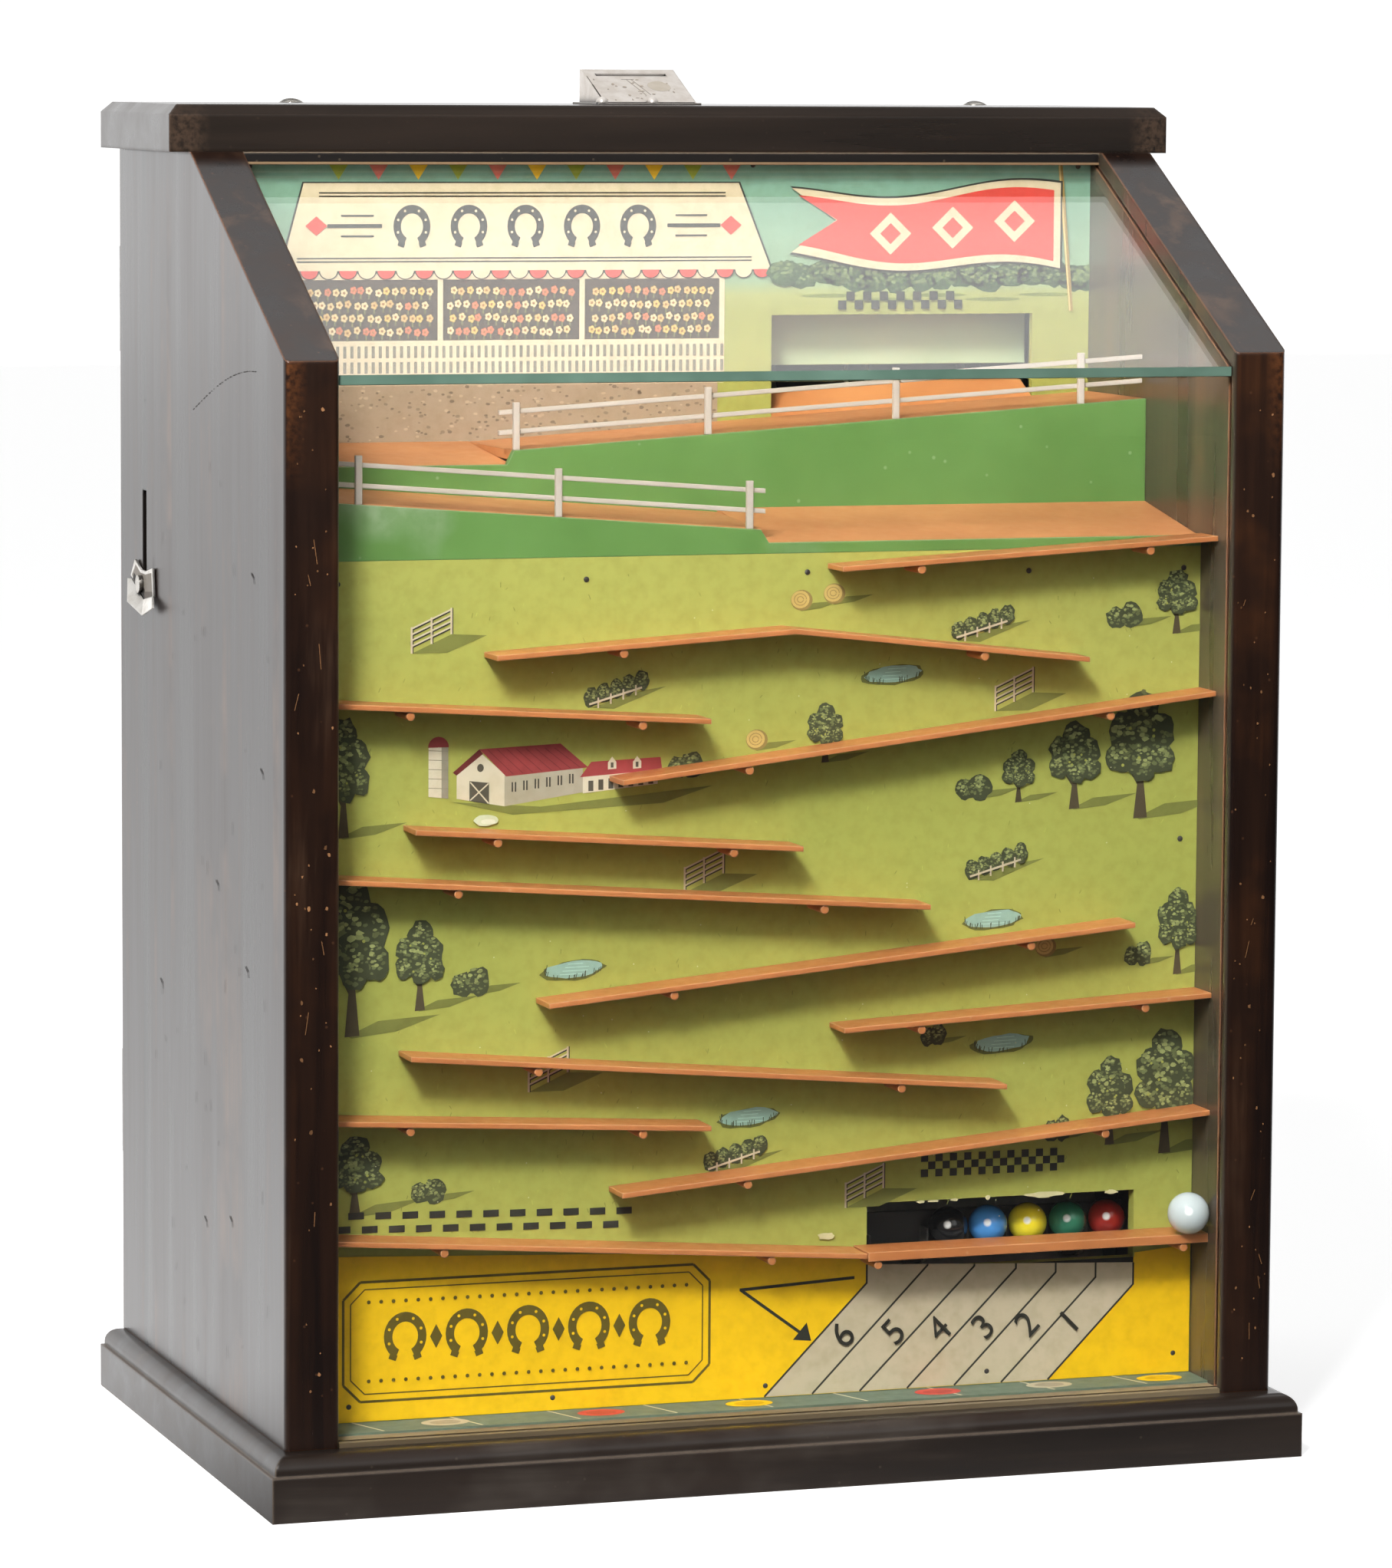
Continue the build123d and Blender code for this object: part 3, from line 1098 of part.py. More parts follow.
def cap_screws():
    screws = []
    y = SIDE_BACK - CAP_SCREW_FROM_BACK
    radius = (CAP_SCREW_RADIUS**2 + CAP_SCREW_DOME**2) / (2 * CAP_SCREW_DOME)
    for x in CAP_SCREWS_X:
        ball = Pos(x, y, CAP_TOP + CAP_SCREW_DOME - radius) * Sphere(radius)
        slab = block(x - 9, x + 9, y - 9, y + 9, CAP_TOP, CAP_TOP + 5)
        slot = block(x - 9, x + 9, y - 0.6, y + 0.6, CAP_TOP + CAP_SCREW_DOME - 0.8, CAP_TOP + 5)
        screws.append((ball & slab) - slot)
    return Compound(screws)


# ---------------------------------------------------------------- rear door, hinges, lock
def rear_door():
    low = BASE_TOP + LOWER_RAIL_HEIGHT + DOOR_GAP
    high = SIDE_TOP - UPPER_RAIL_HEIGHT - DOOR_GAP
    door = block(-WALL_X + DOOR_GAP, WALL_X - DOOR_GAP, DOOR_FRONT, SIDE_BACK, low, high)
    return door - rod_y(LOCK_X, BASE_TOP + LOCK_Z, LOCK_RADIUS + 0.1, DOOR_FRONT - 1, SIDE_BACK + 1)


def hinge_knuckles(z, parts, radius):
    """Stretches of the hinge barrel, given as shares of its length."""
    solid = None
    for start, end in parts:
        gap = 0.15
        piece = rod_z(HINGE_X, HINGE_Y, radius, z + start * HINGE_LENGTH + gap, z + end * HINGE_LENGTH - gap)
        solid = piece if solid is None else solid + piece
    return solid


def leaf(z, hand, start, end):
    """Flat leaf on the back face, on one side of the hinge line."""
    x0, x1 = sorted((HINGE_X, HINGE_X + hand * HINGE_LEAF_WIDTH))
    gap = 0.15
    y0 = SIDE_BACK + 0.05
    return block(x0, x1, y0, y0 + HINGE_LEAF, z + start * HINGE_LENGTH + gap, z + end * HINGE_LENGTH - gap)


def hinge_case_leaves():
    """Leaves on the left side board, each with the pin fixed in its two outer knuckles."""
    leaves = []
    for height in HINGES_Z:
        z = BASE_TOP + height
        solid = hinge_knuckles(z, ((0, 1 / 3), (2 / 3, 1)), HINGE_KNUCKLE_RADIUS)
        solid += rod_z(HINGE_X, HINGE_Y, HINGE_PIN_RADIUS, z, z + HINGE_LENGTH)
        x_edge = -WALL_X - 3
        solid += block(x_edge - HINGE_LEAF_WIDTH, x_edge, SIDE_BACK + 0.05, SIDE_BACK + 0.05 + HINGE_LEAF,
                       z, z + HINGE_LENGTH)
        solid += leaf(z, -1, 0, 1 / 3) + leaf(z, -1, 2 / 3, 1)
        leaves.append(solid)
    return Compound(leaves)


def hinge_door_leaves():
    leaves = []
    for height in HINGES_Z:
        z = BASE_TOP + height
        solid = hinge_knuckles(z, ((1 / 3, 2 / 3),), HINGE_KNUCKLE_RADIUS)
        x_edge = -WALL_X + DOOR_GAP + 3
        solid += block(x_edge, x_edge + HINGE_LEAF_WIDTH, SIDE_BACK + 0.05, SIDE_BACK + 0.05 + HINGE_LEAF,
                       z, z + HINGE_LENGTH)
        solid += leaf(z, 1, 1 / 3, 2 / 3)
        solid -= rod_z(HINGE_X, HINGE_Y, HINGE_PIN_RADIUS + RUN_GAP, z - 1, z + HINGE_LENGTH + 1)
        leaves.append(solid)
    return Compound(leaves)


def lock_barrel():
    z = BASE_TOP + LOCK_Z
    barrel = rod_y(LOCK_X, z, LOCK_RADIUS, DOOR_FRONT - 2, SIDE_BACK)
    barrel += rod_y(LOCK_X, z, LOCK_FLANGE_RADIUS, SIDE_BACK, SIDE_BACK + LOCK_FLANGE)
    return barrel - rod_y(LOCK_X, z, LOCK_PLUG_RADIUS + RUN_GAP, DOOR_FRONT - 5, SIDE_BACK + 5)


def lock_cam():
    """Key plug with the cam on its inner end, shown unlocked with the cam upright."""
    z = BASE_TOP + LOCK_Z
    cam_back = DOOR_FRONT - 2.3
    plug = rod_y(LOCK_X, z, LOCK_PLUG_RADIUS, cam_back, SIDE_BACK + LOCK_FLANGE + 0.4)
    keyway = block(LOCK_X - 0.5, LOCK_X + 0.5, SIDE_BACK, SIDE_BACK + 5, z - 3, z + 3)
    half = CAM_WIDTH / 2
    cam = block(LOCK_X - half, LOCK_X + half, cam_back - CAM_THICK, cam_back, z - half, z + CAM_LENGTH)
    return plug - keyway + cam


# ---------------------------------------------------------------- the nodes
NODES = {
    "base_board": base_board,
    "left_side": left_side,
    "right_side": right_side,
    "cap_board": cap_board,
    "rear_frame": rear_frame,
    "front_glass": front_glass,
    "upper_glass": upper_glass,
    "glass_trim": glass_trim,
    "sill_strip": sill_strip,
    "floor_card": floor_card,
    "playfield_board": playfield_board,
    "board_cleats": board_cleats,
    "picture_board": picture_board,
    "rear_deck": rear_deck,
    "turn_deck": turn_deck,
    "front_deck": front_deck,
    "landing_deck": landing_deck,
    "rear_fascia": rear_fascia,
    "front_fascia": front_fascia,
    "rear_fence": rear_fence,
    "front_fence": front_fence,
    "start_ramp": start_ramp,
    "race_rails_left": lambda: rail_set(LEFT_RAILS),
    "race_rails_right": lambda: rail_set(RIGHT_RAILS),
    "race_rails_middle": lambda: rail_set(MIDDLE_RAILS),
    "race_rail_peaked": lambda: Compound(rail(PEAKED_RAIL)),
    "finish_rail": lambda: Compound(rail(FINISH_RAIL, FINISH_PEG_PLACES, FINISH_RAIL_THICK)),
    "ball_tray": ball_tray,
    "racing_balls": racing_balls,
    "white_ball": white_ball,
    "lift_car": lift_car,
    "lift_rods": lift_rods,
    "rod_blocks": lambda: Compound(rod_feet() + [rod_header()]),
    "upper_idler": lambda: idler(upper_idler_centre()),
    "lower_idler": lambda: idler(lower_idler_centre()),
    "idler_brackets": idler_brackets,
    "lift_cord": lift_cord,
    "sector_gear": sector_gear,
    "pinion_gear": pinion_gear,
    "drive_shaft": drive_shaft,
    "drive_pulley": drive_pulley,
    "handle_shaft": handle_shaft,
    "handle_arm": handle_arm,
    "handle_knob": handle_knob,
    "bearing_plates": bearing_plates,
    "shaft_bush": shaft_bush,
    "gate_plate": gate_plate,
    "slide_plate": slide_plate,
    "guide_screws": guide_screws,
    "lever_screw": lever_screw,
    "lever_grip": lever_grip,
    "coin_head": coin_head,
    "coin_chute": coin_chute,
    "cash_box": cash_box,
    "cap_screws": cap_screws,
    "rear_door": rear_door,
    "hinge_case_leaves": hinge_case_leaves,
    "hinge_door_leaves": hinge_door_leaves,
    "lock_barrel": lock_barrel,
    "lock_cam": lock_cam,
}

os.makedirs("parts", exist_ok=True)
for name, make in NODES.items():
    export_step(make(), f"parts/{name}.step")

print("nodes", len(NODES))
print("lift travel", round(LIFT_TRAVEL, 3), "along", round(UP_Y, 5), round(UP_Z, 5))
print("pulley radius", round(PULLEY_CORD_RADIUS, 3), "drive axis", DRIVE_Y, DRIVE_Z)
print("handle axis", HANDLE_Y, HANDLE_AXIS_Z, "tray pin", round(TRAY_PIN_Y, 3), round(TRAY_PIN_Z, 3))
print("idlers", lower_idler_centre(), upper_idler_centre())
print("door hinge", HINGE_X, HINGE_Y, "lock", LOCK_X, BASE_TOP + LOCK_Z)
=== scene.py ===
# %% [markdown]
# # A marble racing game for the counter top
# The wooden case, its panes, boards, rails and working pieces come in as a finished frame of solid
# pieces in metres, with +Z up and the origin under the middle of the base.  This lesson gives them
# their finishes, adds what is too small or too thin for the frame, and lights them.
# %% Load the frame
import json
import random
from math import cos, pi, radians, sin

import bmesh
import bpy
from mathutils import Matrix, Vector


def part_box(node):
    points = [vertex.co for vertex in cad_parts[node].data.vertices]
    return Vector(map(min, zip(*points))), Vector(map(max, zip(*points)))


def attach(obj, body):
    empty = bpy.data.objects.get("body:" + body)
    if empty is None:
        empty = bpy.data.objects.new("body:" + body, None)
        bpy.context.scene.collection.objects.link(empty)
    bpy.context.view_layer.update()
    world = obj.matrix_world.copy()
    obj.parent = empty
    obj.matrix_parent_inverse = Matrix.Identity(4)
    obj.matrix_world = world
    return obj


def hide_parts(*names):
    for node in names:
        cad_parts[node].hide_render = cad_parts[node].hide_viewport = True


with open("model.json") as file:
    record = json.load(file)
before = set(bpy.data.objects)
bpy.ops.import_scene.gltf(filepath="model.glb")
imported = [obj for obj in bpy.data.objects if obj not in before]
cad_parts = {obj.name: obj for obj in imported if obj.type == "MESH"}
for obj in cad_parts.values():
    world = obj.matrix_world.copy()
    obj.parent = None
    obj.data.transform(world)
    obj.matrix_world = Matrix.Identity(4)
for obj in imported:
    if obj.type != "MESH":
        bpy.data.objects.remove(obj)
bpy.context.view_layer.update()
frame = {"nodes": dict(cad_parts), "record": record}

MM = 0.001
nodes = frame["nodes"]
print("pieces in the frame:", len(nodes))

# %% [markdown]
# ## Camera
# The photograph was taken from a little left of the front and slightly above, with a long lens, so
# upright edges stay nearly parallel.  The place and the angles below were worked out from the straight
# edges of the case.  The camera's axes are built from the heading, the pitch and the small roll.
# %% Camera
PLACE = Vector((-0.7501, -2.2329, 0.4895))
HEADING = radians(18.6126)
PITCH = radians(6.26036)
ROLL = radians(0.35865)
LENS_MM = 152.19
SENSOR_MM = 36

forward = Vector((sin(HEADING) * cos(PITCH), cos(HEADING) * cos(PITCH), -sin(PITCH)))
level_right = Vector((cos(HEADING), -sin(HEADING), 0))
level_up = level_right.cross(forward)
right = level_right * cos(ROLL) + level_up * sin(ROLL)
up = level_up * cos(ROLL) - level_right * sin(ROLL)
camera = bpy.data.objects.new("camera", bpy.data.cameras.new("camera"))
bpy.context.scene.collection.objects.link(camera)
camera.matrix_world = Matrix.Translation(PLACE) @ Matrix((right, up, -forward)).transposed().to_4x4()
camera.data.lens = LENS_MM
camera.data.sensor_width = SENSOR_MM
camera.data.clip_start = 0.05
bpy.context.scene.camera = camera
print("camera", [round(v, 3) for v in camera.location], "lens", LENS_MM)

# %% [markdown]
# ## Helpers
# Every finish is a Principled shader with its own nodes, and a few small helpers keep that short.  `feed`
# joins a socket to another node or sets it, `add_node` adds a node with its settings and sockets, and the
# others each wrap one kind of node.  The last three turn data into an object, a mesh into an object with a
# finish, and a mesh into a piece that rides on a part of the frame.
# %% Helpers
def feed(tree, socket, value):
    """Join a socket to another node's output, or set it; a colour of three parts is made opaque."""
    if isinstance(value, bpy.types.NodeSocket):
        tree.links.new(value, socket)
    elif socket.type == "RGBA" and len(value) == 3:
        socket.default_value = (*value, 1)
    else:
        socket.default_value = value


def add_node(tree, kind, *fed, **values):
    """A new node: settings and named sockets from values, the first sockets from fed."""
    made = tree.nodes.new("ShaderNode" + kind)
    for key, value in values.items():
        if hasattr(made, key):
            setattr(made, key, value)
        else:
            feed(tree, made.inputs[key.replace("_", " ")], value)
    for socket, value in zip(made.inputs, fed):
        feed(tree, socket, value)
    return made


def arithmetic(tree, operation, *values):
    return add_node(tree, "Math", *values, operation=operation).outputs[0]


def times(tree, first, second):
    return arithmetic(tree, "MULTIPLY", first, second)


def remap(tree, value, low, high, to_low=0.0, to_high=1.0, **settings):
    made = add_node(tree, "MapRange", Value=value, From_Min=low, From_Max=high, To_Min=to_low,
                    To_Max=to_high, **settings)
    return made.outputs["Result"]


def noise(tree, where, scale, detail, roughness=0.6, distortion=0.0):
    made = add_node(tree, "TexNoise", where, Scale=scale, Detail=detail, Roughness=roughness,
                    Distortion=distortion)
    return made.outputs["Fac"]


def alignment(tree, first, second):
    """1 where two directions agree, falling as they part."""
    return add_node(tree, "VectorMath", first, second, operation="DOT_PRODUCT").outputs["Value"]


def shade(colour, factor):
    return tuple(min(1.0, part * factor) for part in colour)


def colour_ramp(tree, value, stops):
    """A colour that follows a value; stops are (position, colour) in rising order."""
    ramp = add_node(tree, "ValToRGB", value)
    elements = ramp.color_ramp.elements
    while len(elements) < len(stops):
        elements.new(0.5)
    for element, (position, colour) in zip(elements, stops):
        element.position = position
        element.color = (*colour, 1)
    return ramp.outputs["Color"]


def two_colours(tree, mask, first, second, low=0.0, high=1.0):
    """A colour that goes from first to second as the mask goes from low to high."""
    return colour_ramp(tree, mask, ((low, first), (high, second)))


def mix_colour(tree, factor, first, second, blend="MIX"):
    mix = add_node(tree, "Mix", factor, data_type="RGBA", blend_type=blend)
    feed(tree, mix.inputs[6], first)
    feed(tree, mix.inputs[7], second)
    return mix.outputs[2]


def object_axes(tree):
    """The three object coordinates, as sockets."""
    return add_node(tree, "SeparateXYZ", add_node(tree, "TexCoord").outputs["Object"]).outputs


def start_finish(name, roughness=0.5, **sockets):
    made = bpy.data.materials.new(name)
    made.use_nodes = True
    shader = made.node_tree.nodes["Principled BSDF"]
    for key, value in {"Roughness": roughness, **sockets}.items():
        feed(made.node_tree, shader.inputs[key.replace("_", " ")], value)
    return made, made.node_tree, shader


def add_object(name, data):
    made = bpy.data.objects.new(name, data)
    bpy.context.scene.collection.objects.link(made)
    return made


def add_mesh(name, bm, finish):
    mesh = bpy.data.meshes.new(name)
    bm.to_mesh(mesh)
    bm.free()
    mesh.materials.append(finish)
    return add_object(name, mesh)


def add_piece(name, bm, finish, body):
    made = add_mesh(name, bm, finish)
    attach(made, body)
    return made


print("helpers ready")

# %% [markdown]
# ## Floor
# The picture was taken on a glowing white table, with a bright wall behind, a large soft box overhead and a
# dark room in front.  Lacquered black wood shows what it mirrors, so these surroundings matter more than
# its own colour: the left side looks pale gray because it mirrors the bright wall and table behind it.
# The floor glows.  The camera sees it evenly pale, but in mirrored rays it fades towards the dark room in
# front, which keeps the front edges and the upright pane deep and clear.
# %% Floor
FLOOR_SIZE = 14
FLOOR_MIDDLE = (0, 1.0, 0)
GLOW_START = -0.26
GLOW_FULL = 0.16
FLOOR_GLOW = 0.72
SEEN_GLOW = 0.93
FLOOR_DARK = 0.03
FLOOR_PALE = 0.80


def pale_floor():
    made, tree, shader = start_finish("pale floor", 0.9, Emission_Strength=FLOOR_GLOW)
    place = add_node(tree, "SeparateXYZ", add_node(tree, "NewGeometry").outputs["Position"])
    fade = remap(tree, place.outputs["Y"], GLOW_START, GLOW_FULL, interpolation_type="SMOOTHSTEP")
    by_camera = add_node(tree, "LightPath").outputs["Is Camera Ray"]
    for socket, dark, pale, seen in (("Base Color", FLOOR_DARK, FLOOR_PALE, FLOOR_PALE),
                                     ("Emission Color", 0.0, 1.0, SEEN_GLOW)):
        mirrored = remap(tree, fade, 0.0, 1.0, dark, pale)
        choose = add_node(tree, "Mix", Factor=by_camera, A=mirrored, B=seen)
        tree.links.new(choose.outputs["Result"], shader.inputs[socket])
    return made


grid = bmesh.new()
bmesh.ops.create_grid(grid, x_segments=1, y_segments=1, size=0.5)
floor = add_mesh("floor", grid, pale_floor())
floor.location = FLOOR_MIDDLE
floor.scale = (FLOOR_SIZE, FLOOR_SIZE, 1)
print("floor", FLOOR_SIZE, "m wide")

# %% [markdown]
# ## Surroundings
# The brightness around the case depends only on the angle over it, from the wall behind (0 degrees) over
# the top (90) to the room in front (180).  The camera itself sees plain white.  The soft box starts 57
# degrees up: its straight edge is what the leaning pane mirrors as a pale veil over its lower part.
# %% Surroundings
SKY_STEPS = (
    (-180, 0.05), (-120, 0.10), (-60, 0.6), (-20, 1.5), (14, 1.5), (26, 0.25), (57.0, 0.2), (57.5, 1.6),
    (67, 1.6), (74, 0.2), (150, 0.08), (180, 0.05),
)
BRIGHTEST = 2.0
SEEN_SKY = (0.55, 0.55, 0.55)
world = bpy.data.worlds.new("studio")
bpy.context.scene.world = world
world.use_nodes = True
sky = world.node_tree
towards = add_node(sky, "SeparateXYZ", add_node(sky, "TexCoord").outputs["Generated"]).outputs
angle = remap(sky, arithmetic(sky, "ARCTAN2", towards["Z"], towards["Y"]), -pi, pi)
mirrored_sky = colour_ramp(sky, angle, [((degrees_up + 180) / 360, (light / BRIGHTEST,) * 3)
                                        for degrees_up, light in SKY_STEPS])
by_camera = add_node(sky, "LightPath").outputs["Is Camera Ray"]
background = sky.nodes["Background"]
feed(sky, background.inputs["Color"], mix_colour(sky, by_camera, mirrored_sky, SEEN_SKY))
background.inputs["Strength"].default_value = BRIGHTEST
print("sky steps:", len(SKY_STEPS))

# %% [markdown]
# ## Lamps
# One soft lamp from the upper left casts the shadows under the rails, and a weaker one from the right
# fills them.  Their light is narrowed, so that it stays off the floor in front.
# %% Lamps
LAMPS_AIM = Vector((0, 0, 0.22))


def soft_lamp(name, place, size, power, spread_degrees):
    lamp = bpy.data.lights.new(name, "AREA")
    lamp.size = size
    lamp.energy = power
    lamp.spread = radians(spread_degrees)
    made = add_object(name, lamp)
    made.location = place
    made.rotation_euler = (LAMPS_AIM - Vector(place)).to_track_quat("-Z", "Y").to_euler()
    return made


lamps = [
    soft_lamp("key lamp", (-1.0, -1.6, 1.75), 0.42, 14.3, 90),
    soft_lamp("fill lamp", (0.9, -2.2, 1.2), 1.3, 0.9, 80),
]
bpy.context.scene.view_settings.view_transform = "Standard"
print("lamps:", [lamp.name for lamp in lamps])

# %% [markdown]
# ## Shared effects
# Several finishes show the same things: the worn edges of old lacquered wood, its long grain, and the
# blotches of old paint and paper.  Each is a node group, built once.  Edge wear comes from comparing the
# true normal with one that is smoothed over a small radius: they differ only near an edge.
# %% Edge wear, grain and blotches
def start_group(name, inputs, outputs):
    """A node group with its inner input and output sockets; a tuple among the inputs is a vector."""
    group = bpy.data.node_groups.new(name, "ShaderNodeTree")
    for label, value in inputs.items():
        kind = "NodeSocketVector" if isinstance(value, tuple) else "NodeSocketFloat"
        group.interface.new_socket(name=label, in_out="INPUT", socket_type=kind).default_value = value
    for label in outputs:
        kind = "NodeSocketVector" if "Normal" in label else "NodeSocketFloat"
        group.interface.new_socket(name=label, in_out="OUTPUT", socket_type=kind)
    return group, group.nodes.new("NodeGroupInput").outputs, group.nodes.new("NodeGroupOutput").inputs


def make_edge_wear():
    group, into, out = start_group("edge wear", {"Width": 0.0012, "Amount": 0.6, "Scale": 90.0},
                                   ("Wear", "Soft Normal"))
    soft = add_node(group, "Bevel", samples=6, Radius=into["Width"]).outputs["Normal"]
    true = add_node(group, "NewGeometry").outputs["Normal"]
    edge = remap(group, alignment(group, soft, true), 0.995, 0.80)
    chips = noise(group, add_node(group, "TexCoord").outputs["Object"], into["Scale"], 6.0, 0.7)
    chipped = arithmetic(group, "ADD", chips, times(group, edge, 0.45))
    wear = remap(group, times(group, chipped, edge), 0.55, 0.78)
    feed(group, out["Wear"], times(group, wear, into["Amount"]))
    feed(group, out["Soft Normal"], soft)
    return group


def make_grain():
    group, into, out = start_group("wood grain", {"Stretch": (1, 1, 1), "Scale": 1.0},
                                   ("Figure", "Pores", "Bands"))
    where = add_node(group, "TexCoord").outputs["Object"]
    stretched = add_node(group, "VectorMath", where, into["Stretch"], operation="MULTIPLY").outputs["Vector"]
    for label, scale, detail in (("Figure", 1.0, 5.0), ("Pores", 5.5, 3.0), ("Bands", 0.22, 2.0)):
        feed(group, out[label], noise(group, stretched, times(group, into["Scale"], scale), detail,
                                      distortion=0.3))
    return group


def make_blotches():
    group, into, out = start_group("blotches", {"Scale": 20.0}, ("Cloud", "Fine", "Flecks"))
    where = add_node(group, "TexCoord").outputs["Object"]
    for label, scale, detail in (("Cloud", 1.0, 3.0), ("Fine", 14.0, 5.0)):
        feed(group, out[label], noise(group, where, times(group, into["Scale"], scale), detail))
    cells = add_node(group, "TexVoronoi", where, Scale=times(group, into["Scale"], 6.0))
    feed(group, out["Flecks"], remap(group, cells.outputs["Distance"], 0.09, 0.04))
    return group


edge_wear = make_edge_wear()
wood_grain = make_grain()
blotches = make_blotches()


def use_group(tree, group, **values):
    """The output sockets of a group set into a finish."""
    made = tree.nodes.new("ShaderNodeGroup")
    made.node_tree = group
    for key, value in values.items():
        made.inputs[key].default_value = value
    return made.outputs


def bump(tree, shader, height, strength, distance, normal=None):
    made = add_node(tree, "Bump", Strength=strength, Distance=distance, Height=height)
    if normal is not None:
        feed(tree, made.inputs["Normal"], normal)
    feed(tree, shader.inputs["Normal"], made.outputs["Normal"])


def set_surface(tree, shader, colour, roughness):
    feed(tree, shader.inputs["Base Color"], colour)
    feed(tree, shader.inputs["Roughness"], roughness)


finishes = {}
print("groups:", edge_wear.name, wood_grain.name, blotches.name)

# %% [markdown]
# ## Black-stained wood
# The case is a plain hardwood stained almost black and lacquered.  The lacquer is worn through along the
# edges, where red-brown wood shows, and fine upright streaks run down the sides.  The grain group is
# stretched along the length of each board, so the same recipe serves sides, cap and base.  The finishes
# are kept by the name of the slot that they fill.
# %% Stained wood
SLOT_DEPTH = 0.082
SLOT_SHADE = (0.006, 0.004, 0.003)
UPRIGHT = (55.0, 55.0, 3.0)
SIDEWAYS = (3.0, 55.0, 55.0)


def facing(tree, axis, sign):
    """1 on faces that look along an axis of the frame, 0 on the others."""
    true = add_node(tree, "NewGeometry").outputs["Normal"]
    return remap(tree, add_node(tree, "SeparateXYZ", true).outputs[axis], sign * 0.6, sign * 0.9)


def case_place(tree):
    """Across, depth and height on the case, as sockets; across is measured from the middle to either side."""
    axes = object_axes(tree)
    return arithmetic(tree, "ABSOLUTE", axes["X"]), axes["Y"], axes["Z"]


def front_of_case(tree):
    """1 on the front edges of the sides, fading towards the foot and the outer arris, and 0 elsewhere."""
    across, depth, height = case_place(tree)
    mask = times(tree, remap(tree, depth, -0.100, -0.106), facing(tree, "Y", -1))
    mask = times(tree, mask, remap(tree, height, 0.02, 0.30, 0.35, 1.0))
    return times(tree, mask, remap(tree, across, 0.1795, 0.1768))


def worn_front(tree, grain, body, dark, front):
    """Red-brown islands on the front edges of the sides, and pale rubs at the knee."""
    bare = two_colours(tree, grain["Figure"], dark, front, 0.34, 0.60)
    islands = use_group(tree, blotches, Scale=30.0)
    left_on = times(tree, remap(tree, grain["Bands"], 0.36, 0.52),
                    remap(tree, islands["Cloud"], 0.60, 0.42, 0.25, 1.0))
    body = mix_colour(tree, times(tree, left_on, front_of_case(tree)), body, bare)
    across, _, height = case_place(tree)
    knee = times(tree, remap(tree, height, 0.345, 0.386), remap(tree, across, 0.172, 0.179))
    knee = times(tree, knee, remap(tree, islands["Fine"], 0.35, 0.6))
    return mix_colour(tree, times(tree, knee, facing(tree, "Y", -1)), body, shade(front, 1.9))


def stained_wood(name, stretch, dark, brown, worn, wear, gloss, lacquer=0.0, front=None, inside=None,
                 rubbed=None):
    """Stained wood; front is the brown of the front edges, inside the inner face's, rubbed that of bare streaks."""
    made, tree, shader = start_finish(name, Coat_Weight=lacquer, Coat_Roughness=0.16)
    grain = use_group(tree, wood_grain, Stretch=stretch)
    patches = use_group(tree, blotches, Scale=24.0)
    worn_edge = use_group(tree, edge_wear, Width=0.0016, Amount=wear, Scale=130.0)
    body = two_colours(tree, grain["Figure"], dark, brown, 0.38, 0.72)
    body = mix_colour(tree, remap(tree, grain["Pores"], 0.55, 0.8, 0, 0.5), body, brown)
    if front is not None:
        body = worn_front(tree, grain, body, dark, front)
    if inside is not None:
        plain, sign = inside
        inner = two_colours(tree, grain["Figure"], shade(plain, 0.6), plain, 0.35, 0.65)
        body = mix_colour(tree, facing(tree, "X", sign), body, inner)
    body = mix_colour(tree, times(tree, patches["Flecks"], 0.2 * wear), body, worn)
    if rubbed is not None:
        streaks = times(tree, remap(tree, grain["Figure"], 0.50, 0.64), remap(tree, patches["Cloud"], 0.44, 0.66))
        body = mix_colour(tree, times(tree, streaks, 0.7), body, rubbed)
    body = mix_colour(tree, worn_edge["Wear"], body, worn)
    if inside is not None:
        # Painted shade: a near-black band around the slot through each side, on every face that it crosses
        off_slot = arithmetic(tree, "ABSOLUTE", arithmetic(tree, "SUBTRACT", case_place(tree)[1], SLOT_DEPTH))
        body = mix_colour(tree, remap(tree, off_slot, 0.0034, 0.0029), body, SLOT_SHADE)
    rough = remap(tree, grain["Figure"], 0.3, 0.7, gloss, gloss + 0.12)
    set_surface(tree, shader, body, arithmetic(tree, "ADD", rough, times(tree, worn_edge["Wear"], 0.25)))
    bump(tree, shader, grain["Pores"], 0.10, 0.0002, worn_edge["Soft Normal"])
    return made


